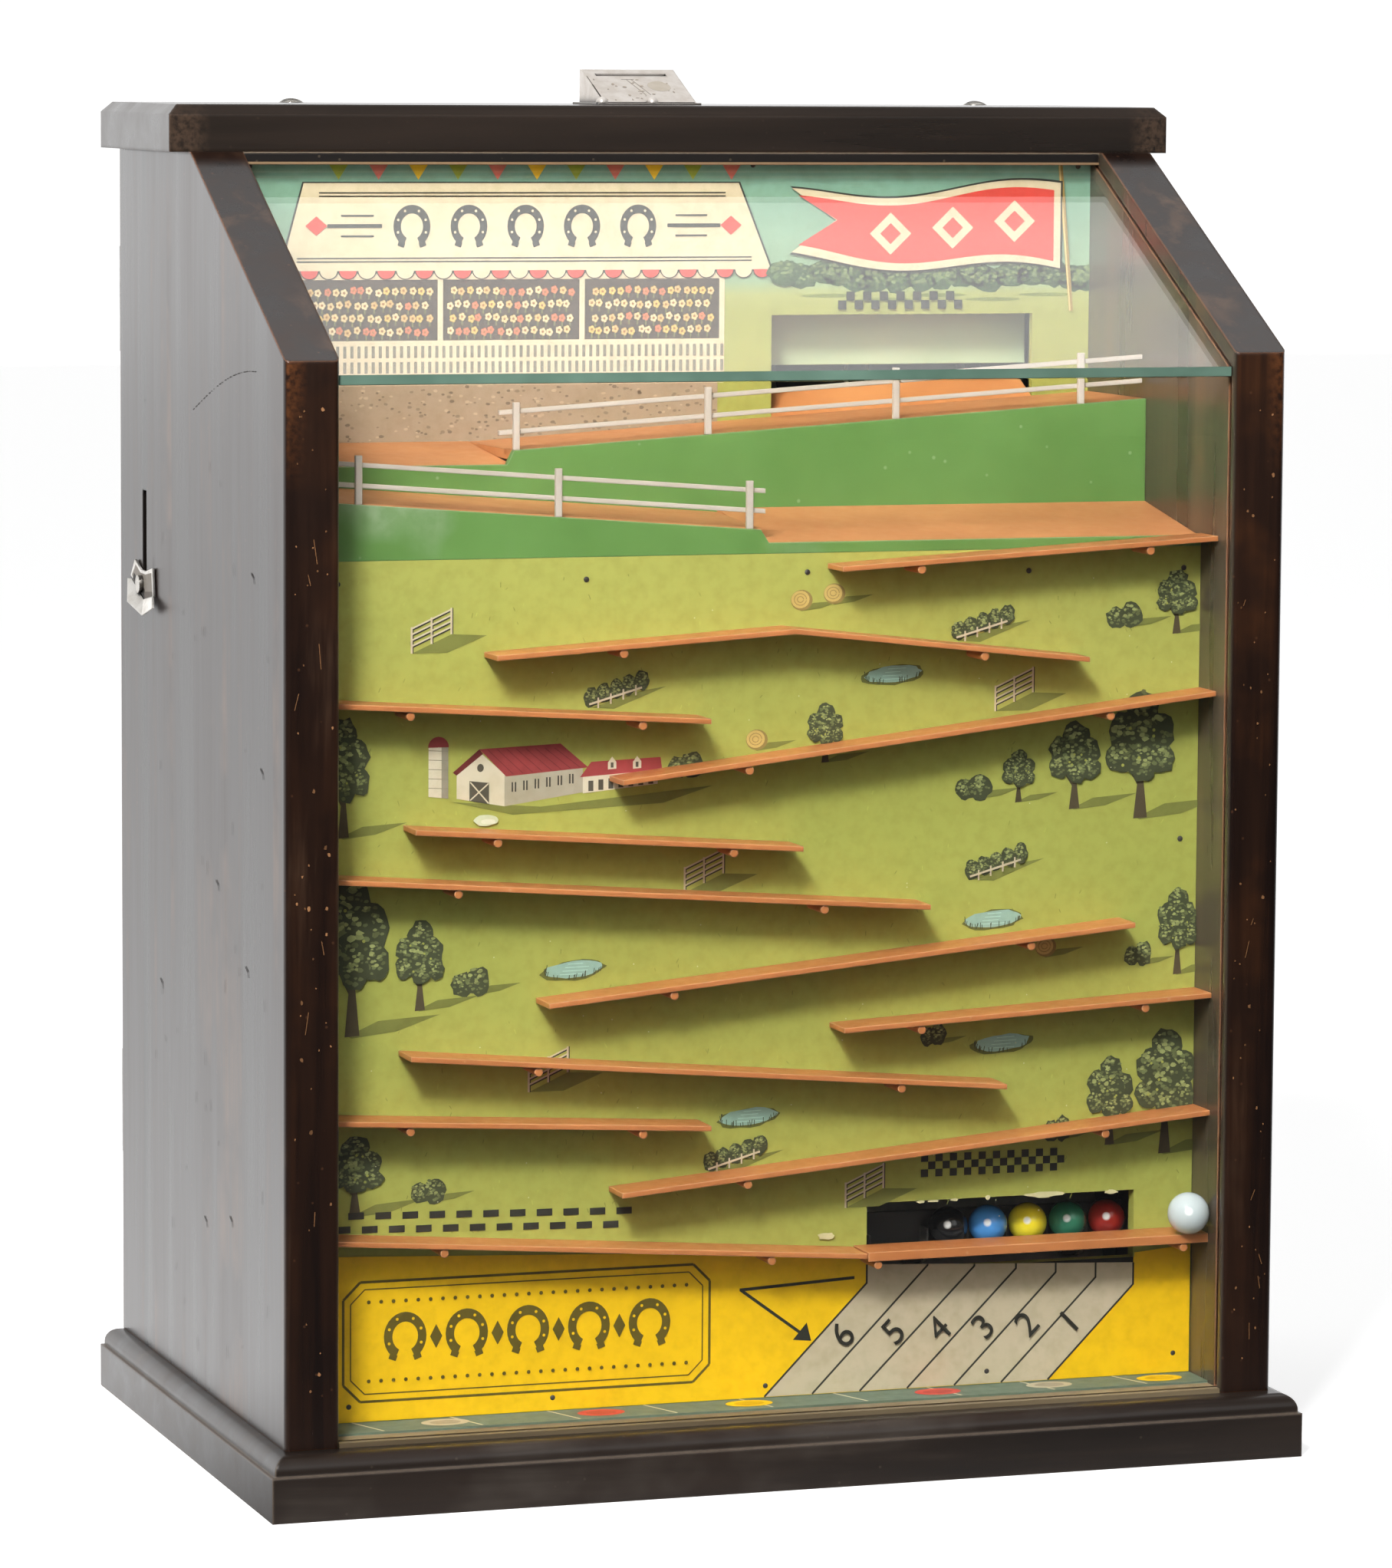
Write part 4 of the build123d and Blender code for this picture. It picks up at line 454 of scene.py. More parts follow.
INNER_WALL = (0.082, 0.062, 0.042)
MAHOGANY = (0.090, 0.030, 0.009)
side_finishes = {
    node: stained_wood("stained " + node.replace("_", " "), UPRIGHT, (0.009, 0.004, 0.003), (0.030, 0.012, 0.006),
                       (0.30, 0.13, 0.06), 0.9, 0.24, 0.25, MAHOGANY, (INNER_WALL, inner_sign), (0.15, 0.085, 0.05))
    for node, inner_sign in (("left_side", 1), ("right_side", -1))
}
finishes["side_wood"] = side_finishes["left_side"]
STAINS = {
    "cap_wood": ("stained cap", SIDEWAYS, (0.015, 0.010, 0.007), (0.034, 0.021, 0.014), (0.16, 0.10, 0.07),
                 0.5, 0.24, 0.25, (0.045, 0.027, 0.017)),
    "base_wood": ("stained base", SIDEWAYS, (0.012, 0.008, 0.006), (0.034, 0.020, 0.013), (0.20, 0.15, 0.11),
                  1.0, 0.30, 0.2, None, None, (0.075, 0.060, 0.048)),
    "door_wood": ("stained door", UPRIGHT, (0.035, 0.020, 0.012), (0.09, 0.05, 0.028), (0.22, 0.14, 0.08),
                  0.6, 0.45),
    "rear_wood": ("stained rear rail", SIDEWAYS, (0.04, 0.022, 0.013), (0.10, 0.055, 0.03), (0.24, 0.15, 0.09),
                  0.5, 0.45),
    # The lath's near black is painted shade, the shadow under the cap's overhang; its own pale wood shows only in the
    # lip added further down
    "trim_wood": ("lath under the cap", SIDEWAYS, (0.006, 0.004, 0.003), (0.012, 0.008, 0.006),
                  (0.40, 0.30, 0.20), 1.0, 0.4),
}
finishes.update({slot: stained_wood(*recipe) for slot, recipe in STAINS.items()})
print("stained:", list(finishes))

# %% [markdown]
# ## Bare and varnished wood
# The hidden blocks and cleats and the two thin laths are plain wood, so only the grain shows.
# %% Plain wood
def plain_wood(name, stretch, dark, pale, gloss=0.55):
    made, tree, shader = start_finish(name)
    grain = use_group(tree, wood_grain, Stretch=stretch)
    set_surface(tree, shader, two_colours(tree, grain["Figure"], dark, pale, 0.32, 0.68),
                remap(tree, grain["Bands"], 0.3, 0.7, gloss, gloss + 0.15))
    bump(tree, shader, grain["Pores"], 0.15, 0.0003)
    return made


finishes["inner_wood"] = plain_wood("plain pine", SIDEWAYS, (0.30, 0.19, 0.10), (0.48, 0.33, 0.19))
finishes["sill_wood"] = plain_wood("sill lath", SIDEWAYS, (0.12, 0.085, 0.045), (0.30, 0.23, 0.13), 0.5)
lip_finish = plain_wood("lip of the lath", SIDEWAYS, (0.26, 0.16, 0.08), (0.42, 0.28, 0.15), 0.5)
print("plain woods made")

# %% [markdown]
# ## Paint
# Tracks, fascias, fences and rails are painted sheet and wood.  Old brushed paint is never one flat tone:
# a slow cloud shifts it lighter and darker, small chips show along the edges, and a few pale flecks are
# scattered over it.  The fascias are scuffed too.
# %% Paint
def old_paint(name, dark, light, chip, gloss, wear, fleck=0.0, scuff=0.0):
    made, tree, shader = start_finish(name)
    patches = use_group(tree, blotches, Scale=18.0)
    worn_edge = use_group(tree, edge_wear, Width=0.0007, Amount=wear, Scale=260.0)
    body = two_colours(tree, patches["Cloud"], dark, light, 0.32, 0.68)
    if scuff:
        rubs = use_group(tree, blotches, Scale=11.0)
        rubbed = times(tree, remap(tree, rubs["Cloud"], 0.60, 0.72),
                       remap(tree, rubs["Fine"], 0.40, 0.62, 0.2, scuff))
        body = mix_colour(tree, rubbed, body, chip)
    body = mix_colour(tree, times(tree, patches["Flecks"], fleck), body, chip)
    set_surface(tree, shader, mix_colour(tree, worn_edge["Wear"], body, chip),
                remap(tree, patches["Fine"], 0.3, 0.7, gloss, gloss + 0.12))
    bump(tree, shader, patches["Fine"], 0.08, 0.0002, worn_edge["Soft Normal"])
    return made


PAINTS = {
    "rail_paint": ("rail paint", (0.37, 0.125, 0.036), (0.45, 0.165, 0.052), (0.60, 0.40, 0.24), 0.34, 0.7, 0.2),
    "deck_paint": ("track paint", (0.42, 0.16, 0.055), (0.54, 0.23, 0.085), (0.30, 0.13, 0.05), 0.5, 0.3, 0.2),
    "fascia_paint": ("fascia paint", (0.085, 0.185, 0.042), (0.115, 0.235, 0.062), (0.42, 0.50, 0.36), 0.32,
                     0.4, 0.35, 0.40),
    "fence_paint": ("fence paint", (0.47, 0.41, 0.34), (0.56, 0.49, 0.42), (0.45, 0.36, 0.24), 0.45, 0.4),
    "ramp_paint": ("ramp paint", (0.45, 0.16, 0.05), (0.58, 0.24, 0.08), (0.35, 0.18, 0.08), 0.45, 0.4),
    "gate_paint": ("gate paint", (0.32, 0.41, 0.22), (0.42, 0.50, 0.30), (0.35, 0.35, 0.28), 0.45, 0.3),
    "tray_metal": ("tray paint", (0.050, 0.046, 0.042), (0.085, 0.078, 0.070), (0.20, 0.18, 0.16), 0.45, 0.5),
    "cash_box_paint": ("cash box enamel", (0.03, 0.07, 0.04), (0.05, 0.10, 0.06), (0.35, 0.33, 0.30), 0.4, 0.6),
    "screw_black": ("blackened screw", (0.02, 0.017, 0.015), (0.04, 0.034, 0.03), (0.25, 0.2, 0.15), 0.45, 0.5),
    "cord": ("braided cord", (0.50, 0.45, 0.33), (0.66, 0.60, 0.46), (0.4, 0.35, 0.25), 0.8, 0.0),
}
finishes.update({slot: old_paint(*recipe) for slot, recipe in PAINTS.items()})
dull_screw_finish = old_paint("dull screw", (0.07, 0.055, 0.043), (0.15, 0.12, 0.095), (0.28, 0.23, 0.18), 0.65, 0.3)
print("painted:", list(PAINTS))

# %% [markdown]
# ## Metals
# The finger lever and the coin head are nickel plate worn by hands; rods and brackets are plain steel, the
# gears, the bush and the lock brass, and the cord wheels turned aluminium.  They share one recipe: a metal
# whose colour clouds slightly, darkened in its corners and recesses by dirt and painted shade together.
# %% Metals
DIRT_AND_SHADE = (0.012, 0.009, 0.007)


def old_metal(name, bright, dull, gloss, spread, scale=60.0, metallic=1.0):
    made, tree, shader = start_finish(name, Metallic=metallic)
    patches = use_group(tree, blotches, Scale=scale)
    worn_edge = use_group(tree, edge_wear, Width=0.0005, Amount=0.5, Scale=300.0)
    body = two_colours(tree, patches["Cloud"], dull, bright, 0.36, 0.6)
    body = mix_colour(tree, worn_edge["Wear"], body, bright)
    # Dirt and painted shade: where ambient occlusion finds a corner or recess, such as the coin slot, the colour goes
    # towards near black
    hollow_dirt_and_shade = add_node(tree, "AmbientOcclusion", samples=6, Distance=0.005).outputs["AO"]
    set_surface(tree, shader, mix_colour(tree, remap(tree, hollow_dirt_and_shade, 0.85, 0.5), body, DIRT_AND_SHADE),
                remap(tree, patches["Fine"], 0.3, 0.7, gloss, gloss + spread))
    bump(tree, shader, patches["Fine"], 0.05, 0.0001, worn_edge["Soft Normal"])
    return made


METALS = {
    "nickel": ("worn nickel", (0.72, 0.69, 0.64), (0.45, 0.42, 0.37), 0.22, 0.2, 120.0),
    "bracket_steel": ("plain steel", (0.60, 0.60, 0.59), (0.42, 0.42, 0.41), 0.32, 0.15),
    "rod_steel": ("ground rod", (0.66, 0.66, 0.66), (0.52, 0.52, 0.52), 0.18, 0.1),
    "gear_brass": ("brass", (0.72, 0.52, 0.22), (0.50, 0.34, 0.13), 0.25, 0.15),
    "wheel_metal": ("turned aluminium", (0.74, 0.74, 0.74), (0.60, 0.60, 0.60), 0.3, 0.12),
    "handle_metal": ("plated handle", (0.76, 0.75, 0.73), (0.62, 0.60, 0.57), 0.12, 0.12),
    "tin": ("tinplate", (0.58, 0.58, 0.56), (0.40, 0.40, 0.38), 0.35, 0.2, 40.0),
}
finishes.update({slot: old_metal(*recipe) for slot, recipe in METALS.items()})
finishes["lock_metal"] = finishes["gear_brass"]
lever_finish = old_metal("lever nickel", (0.88, 0.85, 0.80), (0.70, 0.66, 0.60), 0.26, 0.2, 160.0, 0.45)
coin_finish = old_metal("coin head nickel", (0.84, 0.78, 0.72), (0.72, 0.65, 0.58), 0.30, 0.2, 160.0, 0.35)
print("metals:", list(METALS))

# %% [markdown]
# ## Glass
# Each pane is clear glass with a green cast that gathers at its cut edges.  Light must reach the boards
# behind, and a path tracer would shade them as if the pane were solid, so shadow rays pass through a
# transparent shader.  The cut edges get their own greener finish: the glass's own green with painted
# light, which stands in for the light that leaves through them.
# %% Glass
def clear_glass(name, tint, gloss_level):
    made, tree, shader = start_finish(name, 0.0, Base_Color=tint, Transmission_Weight=1.0, IOR=1.45,
                                      Specular_IOR_Level=gloss_level)
    through = add_node(tree, "BsdfTransparent", Color=tint)
    in_shadow = add_node(tree, "LightPath").outputs["Is Shadow Ray"]
    mix = add_node(tree, "MixShader", in_shadow, shader.outputs["BSDF"], through.outputs["BSDF"])
    tree.links.new(mix.outputs["Shader"], tree.nodes["Material Output"].inputs["Surface"])
    return made


finishes["glass"] = clear_glass("upright pane glass", (0.99, 0.995, 0.985), 0.3)
leaning_pane_finish = clear_glass("leaning pane glass", (0.985, 0.995, 0.985), 0.5)
# Painted light: the edge strip's pale green stands in for light that leaves through the cut edge
pane_edge_finish, edge_tree, edge_shader = start_finish("pane edge", 0.15)
edge_cloud = use_group(edge_tree, blotches, Scale=25.0)["Cloud"]
feed(edge_tree, edge_shader.inputs["Base Color"],
     two_colours(edge_tree, edge_cloud, (0.11, 0.20, 0.15), (0.22, 0.36, 0.28), 0.3, 0.7))
print("glass made")

# %% [markdown]
# ## Marbles and knob
# The marbles are solid coloured glass, glossy and almost opaque, so a plastic-like shader with a clear
# coat reads right.  Behind two faces of glass a lamp's glint would get lost, so each marble has a painted
# highlight: a small soft white spot in its colour where its surface looks towards the front and a little
# up.  The knob is polished black plastic.
# %% Marbles and knob
GLINT_TOWARDS = (-0.357, -0.902, 0.242)
GLINT_WHITE = (0.90, 0.90, 0.87)


def polished(name, colour, deep, gloss=0.10, glint=0.9):
    made, tree, shader = start_finish(name, gloss, Coat_Weight=1.0, Coat_Roughness=0.07)
    cloud = use_group(tree, blotches, Scale=35.0)["Cloud"]
    true = add_node(tree, "NewGeometry").outputs["Normal"]
    # Painted highlight: a soft white spot where the normal turns towards GLINT_TOWARDS
    spot = remap(tree, alignment(tree, true, GLINT_TOWARDS), 0.974, 0.994, 0.0, glint)
    body = mix_colour(tree, spot, two_colours(tree, cloud, deep, colour, 0.3, 0.6), GLINT_WHITE)
    feed(tree, shader.inputs["Base Color"], body)
    return made


BALL_COLOURS = {
    "red": ((0.34, 0.020, 0.014), (0.24, 0.012, 0.008)),
    "green": ((0.034, 0.20, 0.115), (0.022, 0.15, 0.080)),
    "yellow": ((0.92, 0.74, 0.03), (0.85, 0.64, 0.02)),
    "blue": ((0.07, 0.28, 0.66), (0.04, 0.20, 0.55)),
    "black": ((0.016, 0.016, 0.018), (0.010, 0.010, 0.011)),
    "white": ((0.54, 0.60, 0.60), (0.47, 0.53, 0.54)),
}
ball_finishes = {tone: polished(tone + " ball", *colours) for tone, colours in BALL_COLOURS.items()}
finishes["racing_ball_glass"] = ball_finishes["blue"]
finishes["white_ball_glass"] = ball_finishes["white"]
finishes["knob_black"] = polished("knob", (0.014, 0.013, 0.013), (0.008, 0.008, 0.008), 0.2, 0.0)
print("balls:", list(ball_finishes))

# %% [markdown]
# ## Printed boards
# The boards carry a lithographed print on card.  Its ground colours are painted straight onto the boards'
# own faces by height, with a paper-like mottling; the single motifs are thin coloured shapes laid just in
# front.  Everything is a generic country scene with a pavilion and a farm: no words, and nobody in it.
# The boards' backs are bare wood.  Ink on card is almost matt, so the shader's specular level is low.
# %% Printed grounds
PRINT_SHINE = 0.22


def mottle(tree, shader, colour, scale, gloss):
    """Printed card: slow clouds, a fine speckle and a slightly uneven sheen."""
    patches = use_group(tree, blotches, Scale=scale)
    clouds = remap(tree, patches["Cloud"], 0.35, 0.75, 0, 0.30)
    specks = remap(tree, patches["Fine"], 0.42, 0.8, 0, 0.40)
    colour = mix_colour(tree, clouds, colour, (0.76, 0.78, 0.62), "MULTIPLY")
    colour = mix_colour(tree, specks, colour, (0.62, 0.60, 0.48), "MULTIPLY")
    set_surface(tree, shader, colour, remap(tree, patches["Fine"], 0.3, 0.7, gloss, gloss + 0.1))
    shader.inputs["Specular IOR Level"].default_value = PRINT_SHINE


def printed_ground(name, bands):
    """A print whose colour changes with height; bands are (height in mm, colour) from the bottom up."""
    made, tree, shader = start_finish(name)
    bottom = bands[0][0] * MM
    top = bands[-1][0] * MM
    height = remap(tree, object_axes(tree)["Z"], bottom, top)
    printed = colour_ramp(tree, height, [((level * MM - bottom) / (top - bottom), colour) for level, colour in bands])
    grain = use_group(tree, wood_grain, Stretch=SIDEWAYS)
    bare = two_colours(tree, grain["Figure"], (0.22, 0.14, 0.07), (0.36, 0.25, 0.14), 0.35, 0.65)
    mottle(tree, shader, mix_colour(tree, facing(tree, "Y", 1), printed, bare), 14.0, 0.5)
    return made


MEADOW = (0.335, 0.352, 0.078)
MEADOW_TOP = (0.36, 0.365, 0.088)
CARD_TEAL = (0.115, 0.155, 0.115)
finishes["playfield_print"] = printed_ground("meadow print", [(20, MEADOW), (150, MEADOW), (240, MEADOW),
                                                              (330, MEADOW_TOP)])
finishes["picture_print"] = printed_ground("sky print", [
    (344, (0.31, 0.31, 0.07)), (396, (0.30, 0.31, 0.08)), (403, (0.33, 0.35, 0.11)), (408, (0.25, 0.36, 0.22)),
    (455, (0.17, 0.33, 0.26))])
finishes["floor_card"] = printed_ground("floor card print", [(20, CARD_TEAL), (26, CARD_TEAL)])
ink_finish, ink_tree, ink_shader = start_finish("printed inks")
mottle(ink_tree, ink_shader, add_node(ink_tree, "VertexColor", layer_name="ink").outputs["Color"], 16.0, 0.5)
print("printed grounds made")

# %% [markdown]
# ## Drawing with flat shapes
# A motif is a handful of flat shapes in ink.  The class below collects them into one mesh: each new shape
# lies a few thousandths of a millimetre in front of the last, as layers of ink do, and stores its colour
# on its corners.  A motif that stands alone starts again near the card, so the stack stays thin.
# %% Ink sheet
LAYER = 0.003
FIRST_LAYER = 0.10


class InkSheet:
    """Flat shapes on one board, drawn in millimetres across and up from a corner of its face."""

    def __init__(self, name, origin, across=(1, 0, 0), up=(0, 0, 1), ground=FIRST_LAYER):
        self.name = name
        self.origin = Vector(origin)
        self.across = Vector(across)
        self.up = Vector(up)
        self.out = self.across.cross(self.up)
        self.bm = bmesh.new()
        self.ink = self.bm.loops.layers.float_color.new("ink")
        self.ground = self.depth = self.deepest = ground
        self.corner = (0, 0)

    def motif(self, x=0, z=0):
        """Start a motif that touches no other one, drawn from a corner of its own."""
        self.depth = self.ground
        self.corner = (x, z)

    def keep_ground(self):
        """Later motifs start in front of what is drawn so far."""
        self.ground = self.deepest
        self.corner = (0, 0)

    def shape(self, points, colour):
        self.depth += LAYER
        self.deepest = max(self.deepest, self.depth)
        face_at = self.origin + self.out * self.depth * MM
        left, foot = self.corner
        face = self.bm.faces.new([
            self.bm.verts.new(face_at + (self.across * (left + x) + self.up * (foot + z)) * MM) for x, z in points])
        face.normal_update()
        if face.normal.dot(self.out) < 0:
            face.normal_flip()
        for loop in face.loops:
            loop[self.ink] = (*colour, 1)

    def bar(self, x0, z0, x1, z1, width, colour):
        run = Vector((x1 - x0, z1 - z0))
        side = Vector((-run.y, run.x)).normalized() * width / 2
        self.shape([(x0 + side.x, z0 + side.y), (x1 + side.x, z1 + side.y),
                    (x1 - side.x, z1 - side.y), (x0 - side.x, z0 - side.y)], colour)

    def box(self, x0, x1, z0, z1, colour):
        self.shape([(x0, z0), (x1, z0), (x1, z1), (x0, z1)], colour)

    def oval(self, x, z, rx, rz, colour, points=18, wobble=0.0, rng=None, lean=0.0):
        outline = []
        for index in range(points):
            angle = 2 * pi * index / points
            swell = 1 + (rng.uniform(-wobble, wobble) if rng else 0)
            outline.append((x + rx * swell * cos(angle) + lean * rz * sin(angle), z + rz * swell * sin(angle)))
        self.shape(outline, colour)

    def arch(self, x, z, outer, inner, start, end, colour, squash=1.0, points=16):
        """A band along a circle from one angle to another, in degrees."""
        angles = [radians(start + (end - start) * index / points) for index in range(points + 1)]
        rim = [(x + outer * cos(angle), z + outer * squash * sin(angle)) for angle in angles]
        hole = [(x + inner * cos(angle), z + inner * squash * sin(angle)) for angle in reversed(angles)]
        self.shape(rim + hole, colour)

    def finish(self, body, slot):
        made = add_piece(self.name, self.bm, ink_finish, body)
        print(self.name, "has", len(made.data.polygons), "shapes,", round(self.deepest, 2), "mm deep")


CREAM = (0.53, 0.45, 0.32)
INK = (0.030, 0.030, 0.024)
YELLOW = (0.82, 0.50, 0.005)
SCARLET = (0.55, 0.055, 0.04)
ROOF = (0.27, 0.045, 0.045)
print("layers of", LAYER, "mm")

# %% [markdown]
# ## Trees, bushes and hedges
# Foliage in such prints is stippled: a dark mass first, then rows of smaller and lighter dabs towards the
# light.  One function paints a clump of leaves that way, and trees, bushes and hedges are made of clumps.
# Each takes a seed, so the result is the same every time, and casts a shadow to its right.
# %% Foliage
LEAF_DARK = (0.055, 0.062, 0.030)
LEAF_MID = (0.13, 0.15, 0.062)
LEAF_LIGHT = (0.27, 0.30, 0.115)
GRASS_SHADOW = (0.17, 0.18, 0.045)
TRUNK = (0.075, 0.058, 0.032)


def leaf_clump(sheet, rng, x, z, rx, rz, dark=LEAF_DARK, mid=LEAF_MID, light=LEAF_LIGHT):
    sheet.oval(x, z, rx, rz, dark, 16, 0.13, rng)
    leaf = (rx + rz) * 0.055
    for colour, count, reach, lift in ((mid, 26, 0.86, 0.10), (light, 13, 0.60, 0.30)):
        for _ in range(count):
            angle = rng.uniform(0, 2 * pi)
            spread = reach * rng.random() ** 0.5
            size = leaf * rng.uniform(0.7, 1.7)
            sheet.oval(x + rx * (spread * cos(angle) - lift * 0.4), z + rz * (spread * sin(angle) + lift),
                       size, size * 0.7, shade(colour, rng.uniform(0.75, 1.25)), 7, 0.3, rng)


def grass_shadow(sheet, x, z, length, thickness):
    sheet.shape([(x - thickness, z), (x + length * 0.3, z + length * 0.13 + thickness * 0.5),
                 (x + length, z + length * 0.2), (x + length * 0.5, z + length * 0.03),
                 (x, z - thickness * 0.5)], GRASS_SHADOW)


TREE_CLUMPS = ((0.02, 0.86, 0.26), (-0.25, 0.70, 0.25), (0.26, 0.68, 0.25), (0.0, 0.63, 0.30), (-0.31, 0.49, 0.21),
               (0.31, 0.47, 0.20), (0.03, 0.43, 0.22))


def tree(sheet, seed, x, foot, width, height):
    rng = random.Random(seed)
    sheet.motif(x, foot)
    grass_shadow(sheet, 0, 0, width * 1.25, height * 0.03)
    sheet.shape([(-width * 0.10, -0.3), (width * 0.11, 0), (width * 0.05, height * 0.3),
                 (width * 0.10, height * 0.5), (-width * 0.09, height * 0.5), (-width * 0.04, height * 0.3)], TRUNK)
    sheet.bar(0, height * 0.25, -width * 0.26, height * 0.5, width * 0.05, TRUNK)
    sheet.bar(0, height * 0.28, width * 0.25, height * 0.46, width * 0.045, TRUNK)
    for over, level, size in TREE_CLUMPS:
        leaf_clump(sheet, rng, width * over, height * level, width * size, height * size * 0.62)
    for _ in range(5):
        sheet.oval(width * rng.uniform(-0.3, 0.3), height * rng.uniform(0.42, 0.8), width * 0.025, width * 0.025,
                   MEADOW, 6)


def bush(sheet, seed, x, foot, width, height):
    rng = random.Random(seed)
    sheet.motif(x, foot)
    grass_shadow(sheet, width * 0.2, height * 0.1, width * 1.2, height * 0.1)
    leaf_clump(sheet, rng, -width * 0.22, height * 0.42, width * 0.3, height * 0.42)
    leaf_clump(sheet, rng, width * 0.2, height * 0.5, width * 0.34, height * 0.5)


def hedge(sheet, seed, x, foot, length, height):
    """A clipped hedge seen along its length, its white rail in front."""
    rng = random.Random(seed)
    sheet.motif(x, foot)
    rise = length * 0.3
    sheet.shape([(0, 0), (length, rise), (length * 1.5, rise * 1.25), (length * 0.45, -0.6)], GRASS_SHADOW)
    for step in range(5):
        along = step / 4
        leaf_clump(sheet, rng, length * along, rise * along + height * 0.5, length * 0.15, height * 0.5)
    sheet.bar(-1, 1.2, length, rise + 1.2, 0.7, CREAM)
    for step in range(4):
        along = (step + 0.5) / 4
        sheet.bar(length * along, rise * along - 0.8, length * along, rise * along + 2.8, 0.6, CREAM)


print("foliage ready")

# %% [markdown]
# ## What dots the meadow
# Small obstacles lie between the rails: ponds, white hurdles, hedges and hay bales, with a farmstead on the
# left and trees along the edges.  Each is drawn by its own function in a few shapes.
# %% Obstacles and buildings
POND = (0.27, 0.42, 0.36)
HAY = (0.50, 0.36, 0.12)
WALL = (0.62, 0.56, 0.42)


def hurdle(sheet, x, foot, width, height):
    sheet.motif(x, foot)
    rise = width * 0.45
    sheet.shape([(0, 0), (width, rise), (width * 1.9, rise * 0.9), (width * 0.9, 0)], GRASS_SHADOW)
    for tone, shift in ((INK, 0.35), (CREAM, 0.0)):
        for post in (0.0, 0.5, 1.0):
            post_x = width * post + shift
            sheet.bar(post_x, rise * post, post_x, rise * post + height, 0.7, tone)
        for level in (0.28, 0.5, 0.72, 0.94):
            rail_z = height * level - shift
            sheet.bar(shift, rail_z, width + shift, rise + rail_z, 0.55, tone)


def pond(sheet, seed, x, z, width, height):
    rng = random.Random(seed)
    sheet.motif(x, z)
    sheet.oval(0, -0.4, width * 0.56, height * 0.6, shade(GRASS_SHADOW, 0.7), 20, 0.10, rng, 0.9)
    sheet.oval(0, 0, width / 2, height / 2, POND, 20, 0.07, rng, 0.9)
    for line in range(4):
        level = (line - 1.5) * height * 0.2
        sheet.bar(-width * 0.25 + line, level, width * rng.uniform(0.1, 0.3), level + 0.2, 0.22, shade(POND, 1.5))
    for _ in range(22):
        angle = rng.uniform(pi, 2 * pi)
        reed_x = width * 0.5 * cos(angle) + 0.9 * height / 2 * sin(angle)
        reed_z = height * 0.5 * sin(angle)
        sheet.bar(reed_x, reed_z - 0.6, reed_x + rng.uniform(-0.4, 0.6), reed_z + rng.uniform(0.8, 1.8), 0.25,
                  LEAF_DARK)


def hay_bale(sheet, x, foot, size):
    sheet.motif(x, foot)
    grass_shadow(sheet, 0, 0, size * 1.8, size * 0.12)
    sheet.oval(0, size * 0.42, size * 0.5, size * 0.45, shade(HAY, 0.5), 18)
    sheet.oval(-size * 0.06, size * 0.45, size * 0.42, size * 0.38, HAY, 18)
    for ring in (0.30, 0.16):
        sheet.arch(-size * 0.06, size * 0.45, size * ring, size * ring - 0.3, 0, 350, shade(HAY, 0.55), 0.9)


def farmstead(sheet, x, z):
    """A barn with a red roof, a long stable and a silo."""
    dark = shade(WALL, 0.15)
    sheet.motif(x, z)
    sheet.shape([(-2, -1), (30, -3.5), (92, 2), (74, -3.5), (20, -6)], GRASS_SHADOW)
    sheet.shape([(0, 0), (17, -3), (17, 8), (8.5, 15.5), (0, 9.5)], WALL)
    sheet.shape([(17, -3), (45, 1), (45, 10), (17, 8)], shade(WALL, 0.62))
    sheet.shape([(8.0, 16.8), (37, 18), (47, 9.5), (17.6, 7.2)], ROOF)
    sheet.shape([(-1.4, 9), (8.0, 16.8), (9.4, 15.2), (0, 8)], shade(ROOF, 0.5))
    for line in range(8):
        top_x = 11 + line * 3.4
        sheet.bar(top_x, 16.6, top_x + 9.2, 7.9 + line * 0.25, 0.2, shade(ROOF, 0.55))
    sheet.shape([(45, 0.6), (72, 3.2), (72, 8.2), (45, 6.5)], WALL)
    sheet.shape([(44, 6.2), (48, 11.4), (73, 12.4), (73.6, 8.0)], shade(ROOF, 1.15))
    for door in range(7):
        left = 47 + door * 3.6
        sheet.box(left, left + 1.8, 1.3 + door * 0.32, 4.9 + door * 0.32, shade(WALL, 0.14))
    for pane in range(6):
        left = 19.5 + pane * 4.1
        foot = 1.9 + pane * 0.45
        sheet.box(left, left + 1.7, foot, foot + 3.3, shade(WALL, 0.12))
        sheet.box(left + 0.7, left + 1.0, foot, foot + 3.3, WALL)
    sheet.shape([(4.5, -0.8), (11.5, -2.1), (11.5, 5.2), (4.5, 6)], dark)
    sheet.bar(4.8, -0.6, 11.3, 5.0, 0.45, WALL)
    sheet.bar(4.8, 5.6, 11.3, -1.8, 0.45, WALL)
    sheet.oval(8.4, 10.4, 1.2, 1.4, dark, 12)
    for dormer in (54, 63):
        sheet.shape([(dormer, 8.6), (dormer + 3, 8.8), (dormer + 3, 11.2), (dormer + 1.5, 13.0), (dormer, 11)], WALL)
        sheet.box(dormer + 1, dormer + 2, 9.2, 11, dark)
    sheet.shape([(-10, 1), (-3, 0.2), (-3, 18), (-10, 18)], WALL)
    sheet.shape([(-5.4, 0.5), (-3, 0.2), (-3, 18), (-5.4, 18)], shade(WALL, 0.45))
    for band in range(5):
        sheet.bar(-10, 4 + band * 3.2, -3, 3.6 + band * 3.2, 0.25, shade(WALL, 0.4))
    sheet.arch(-6.5, 17.8, 3.7, 0.1, 0, 180, ROOF, 1.0, 10)


print("obstacles ready")

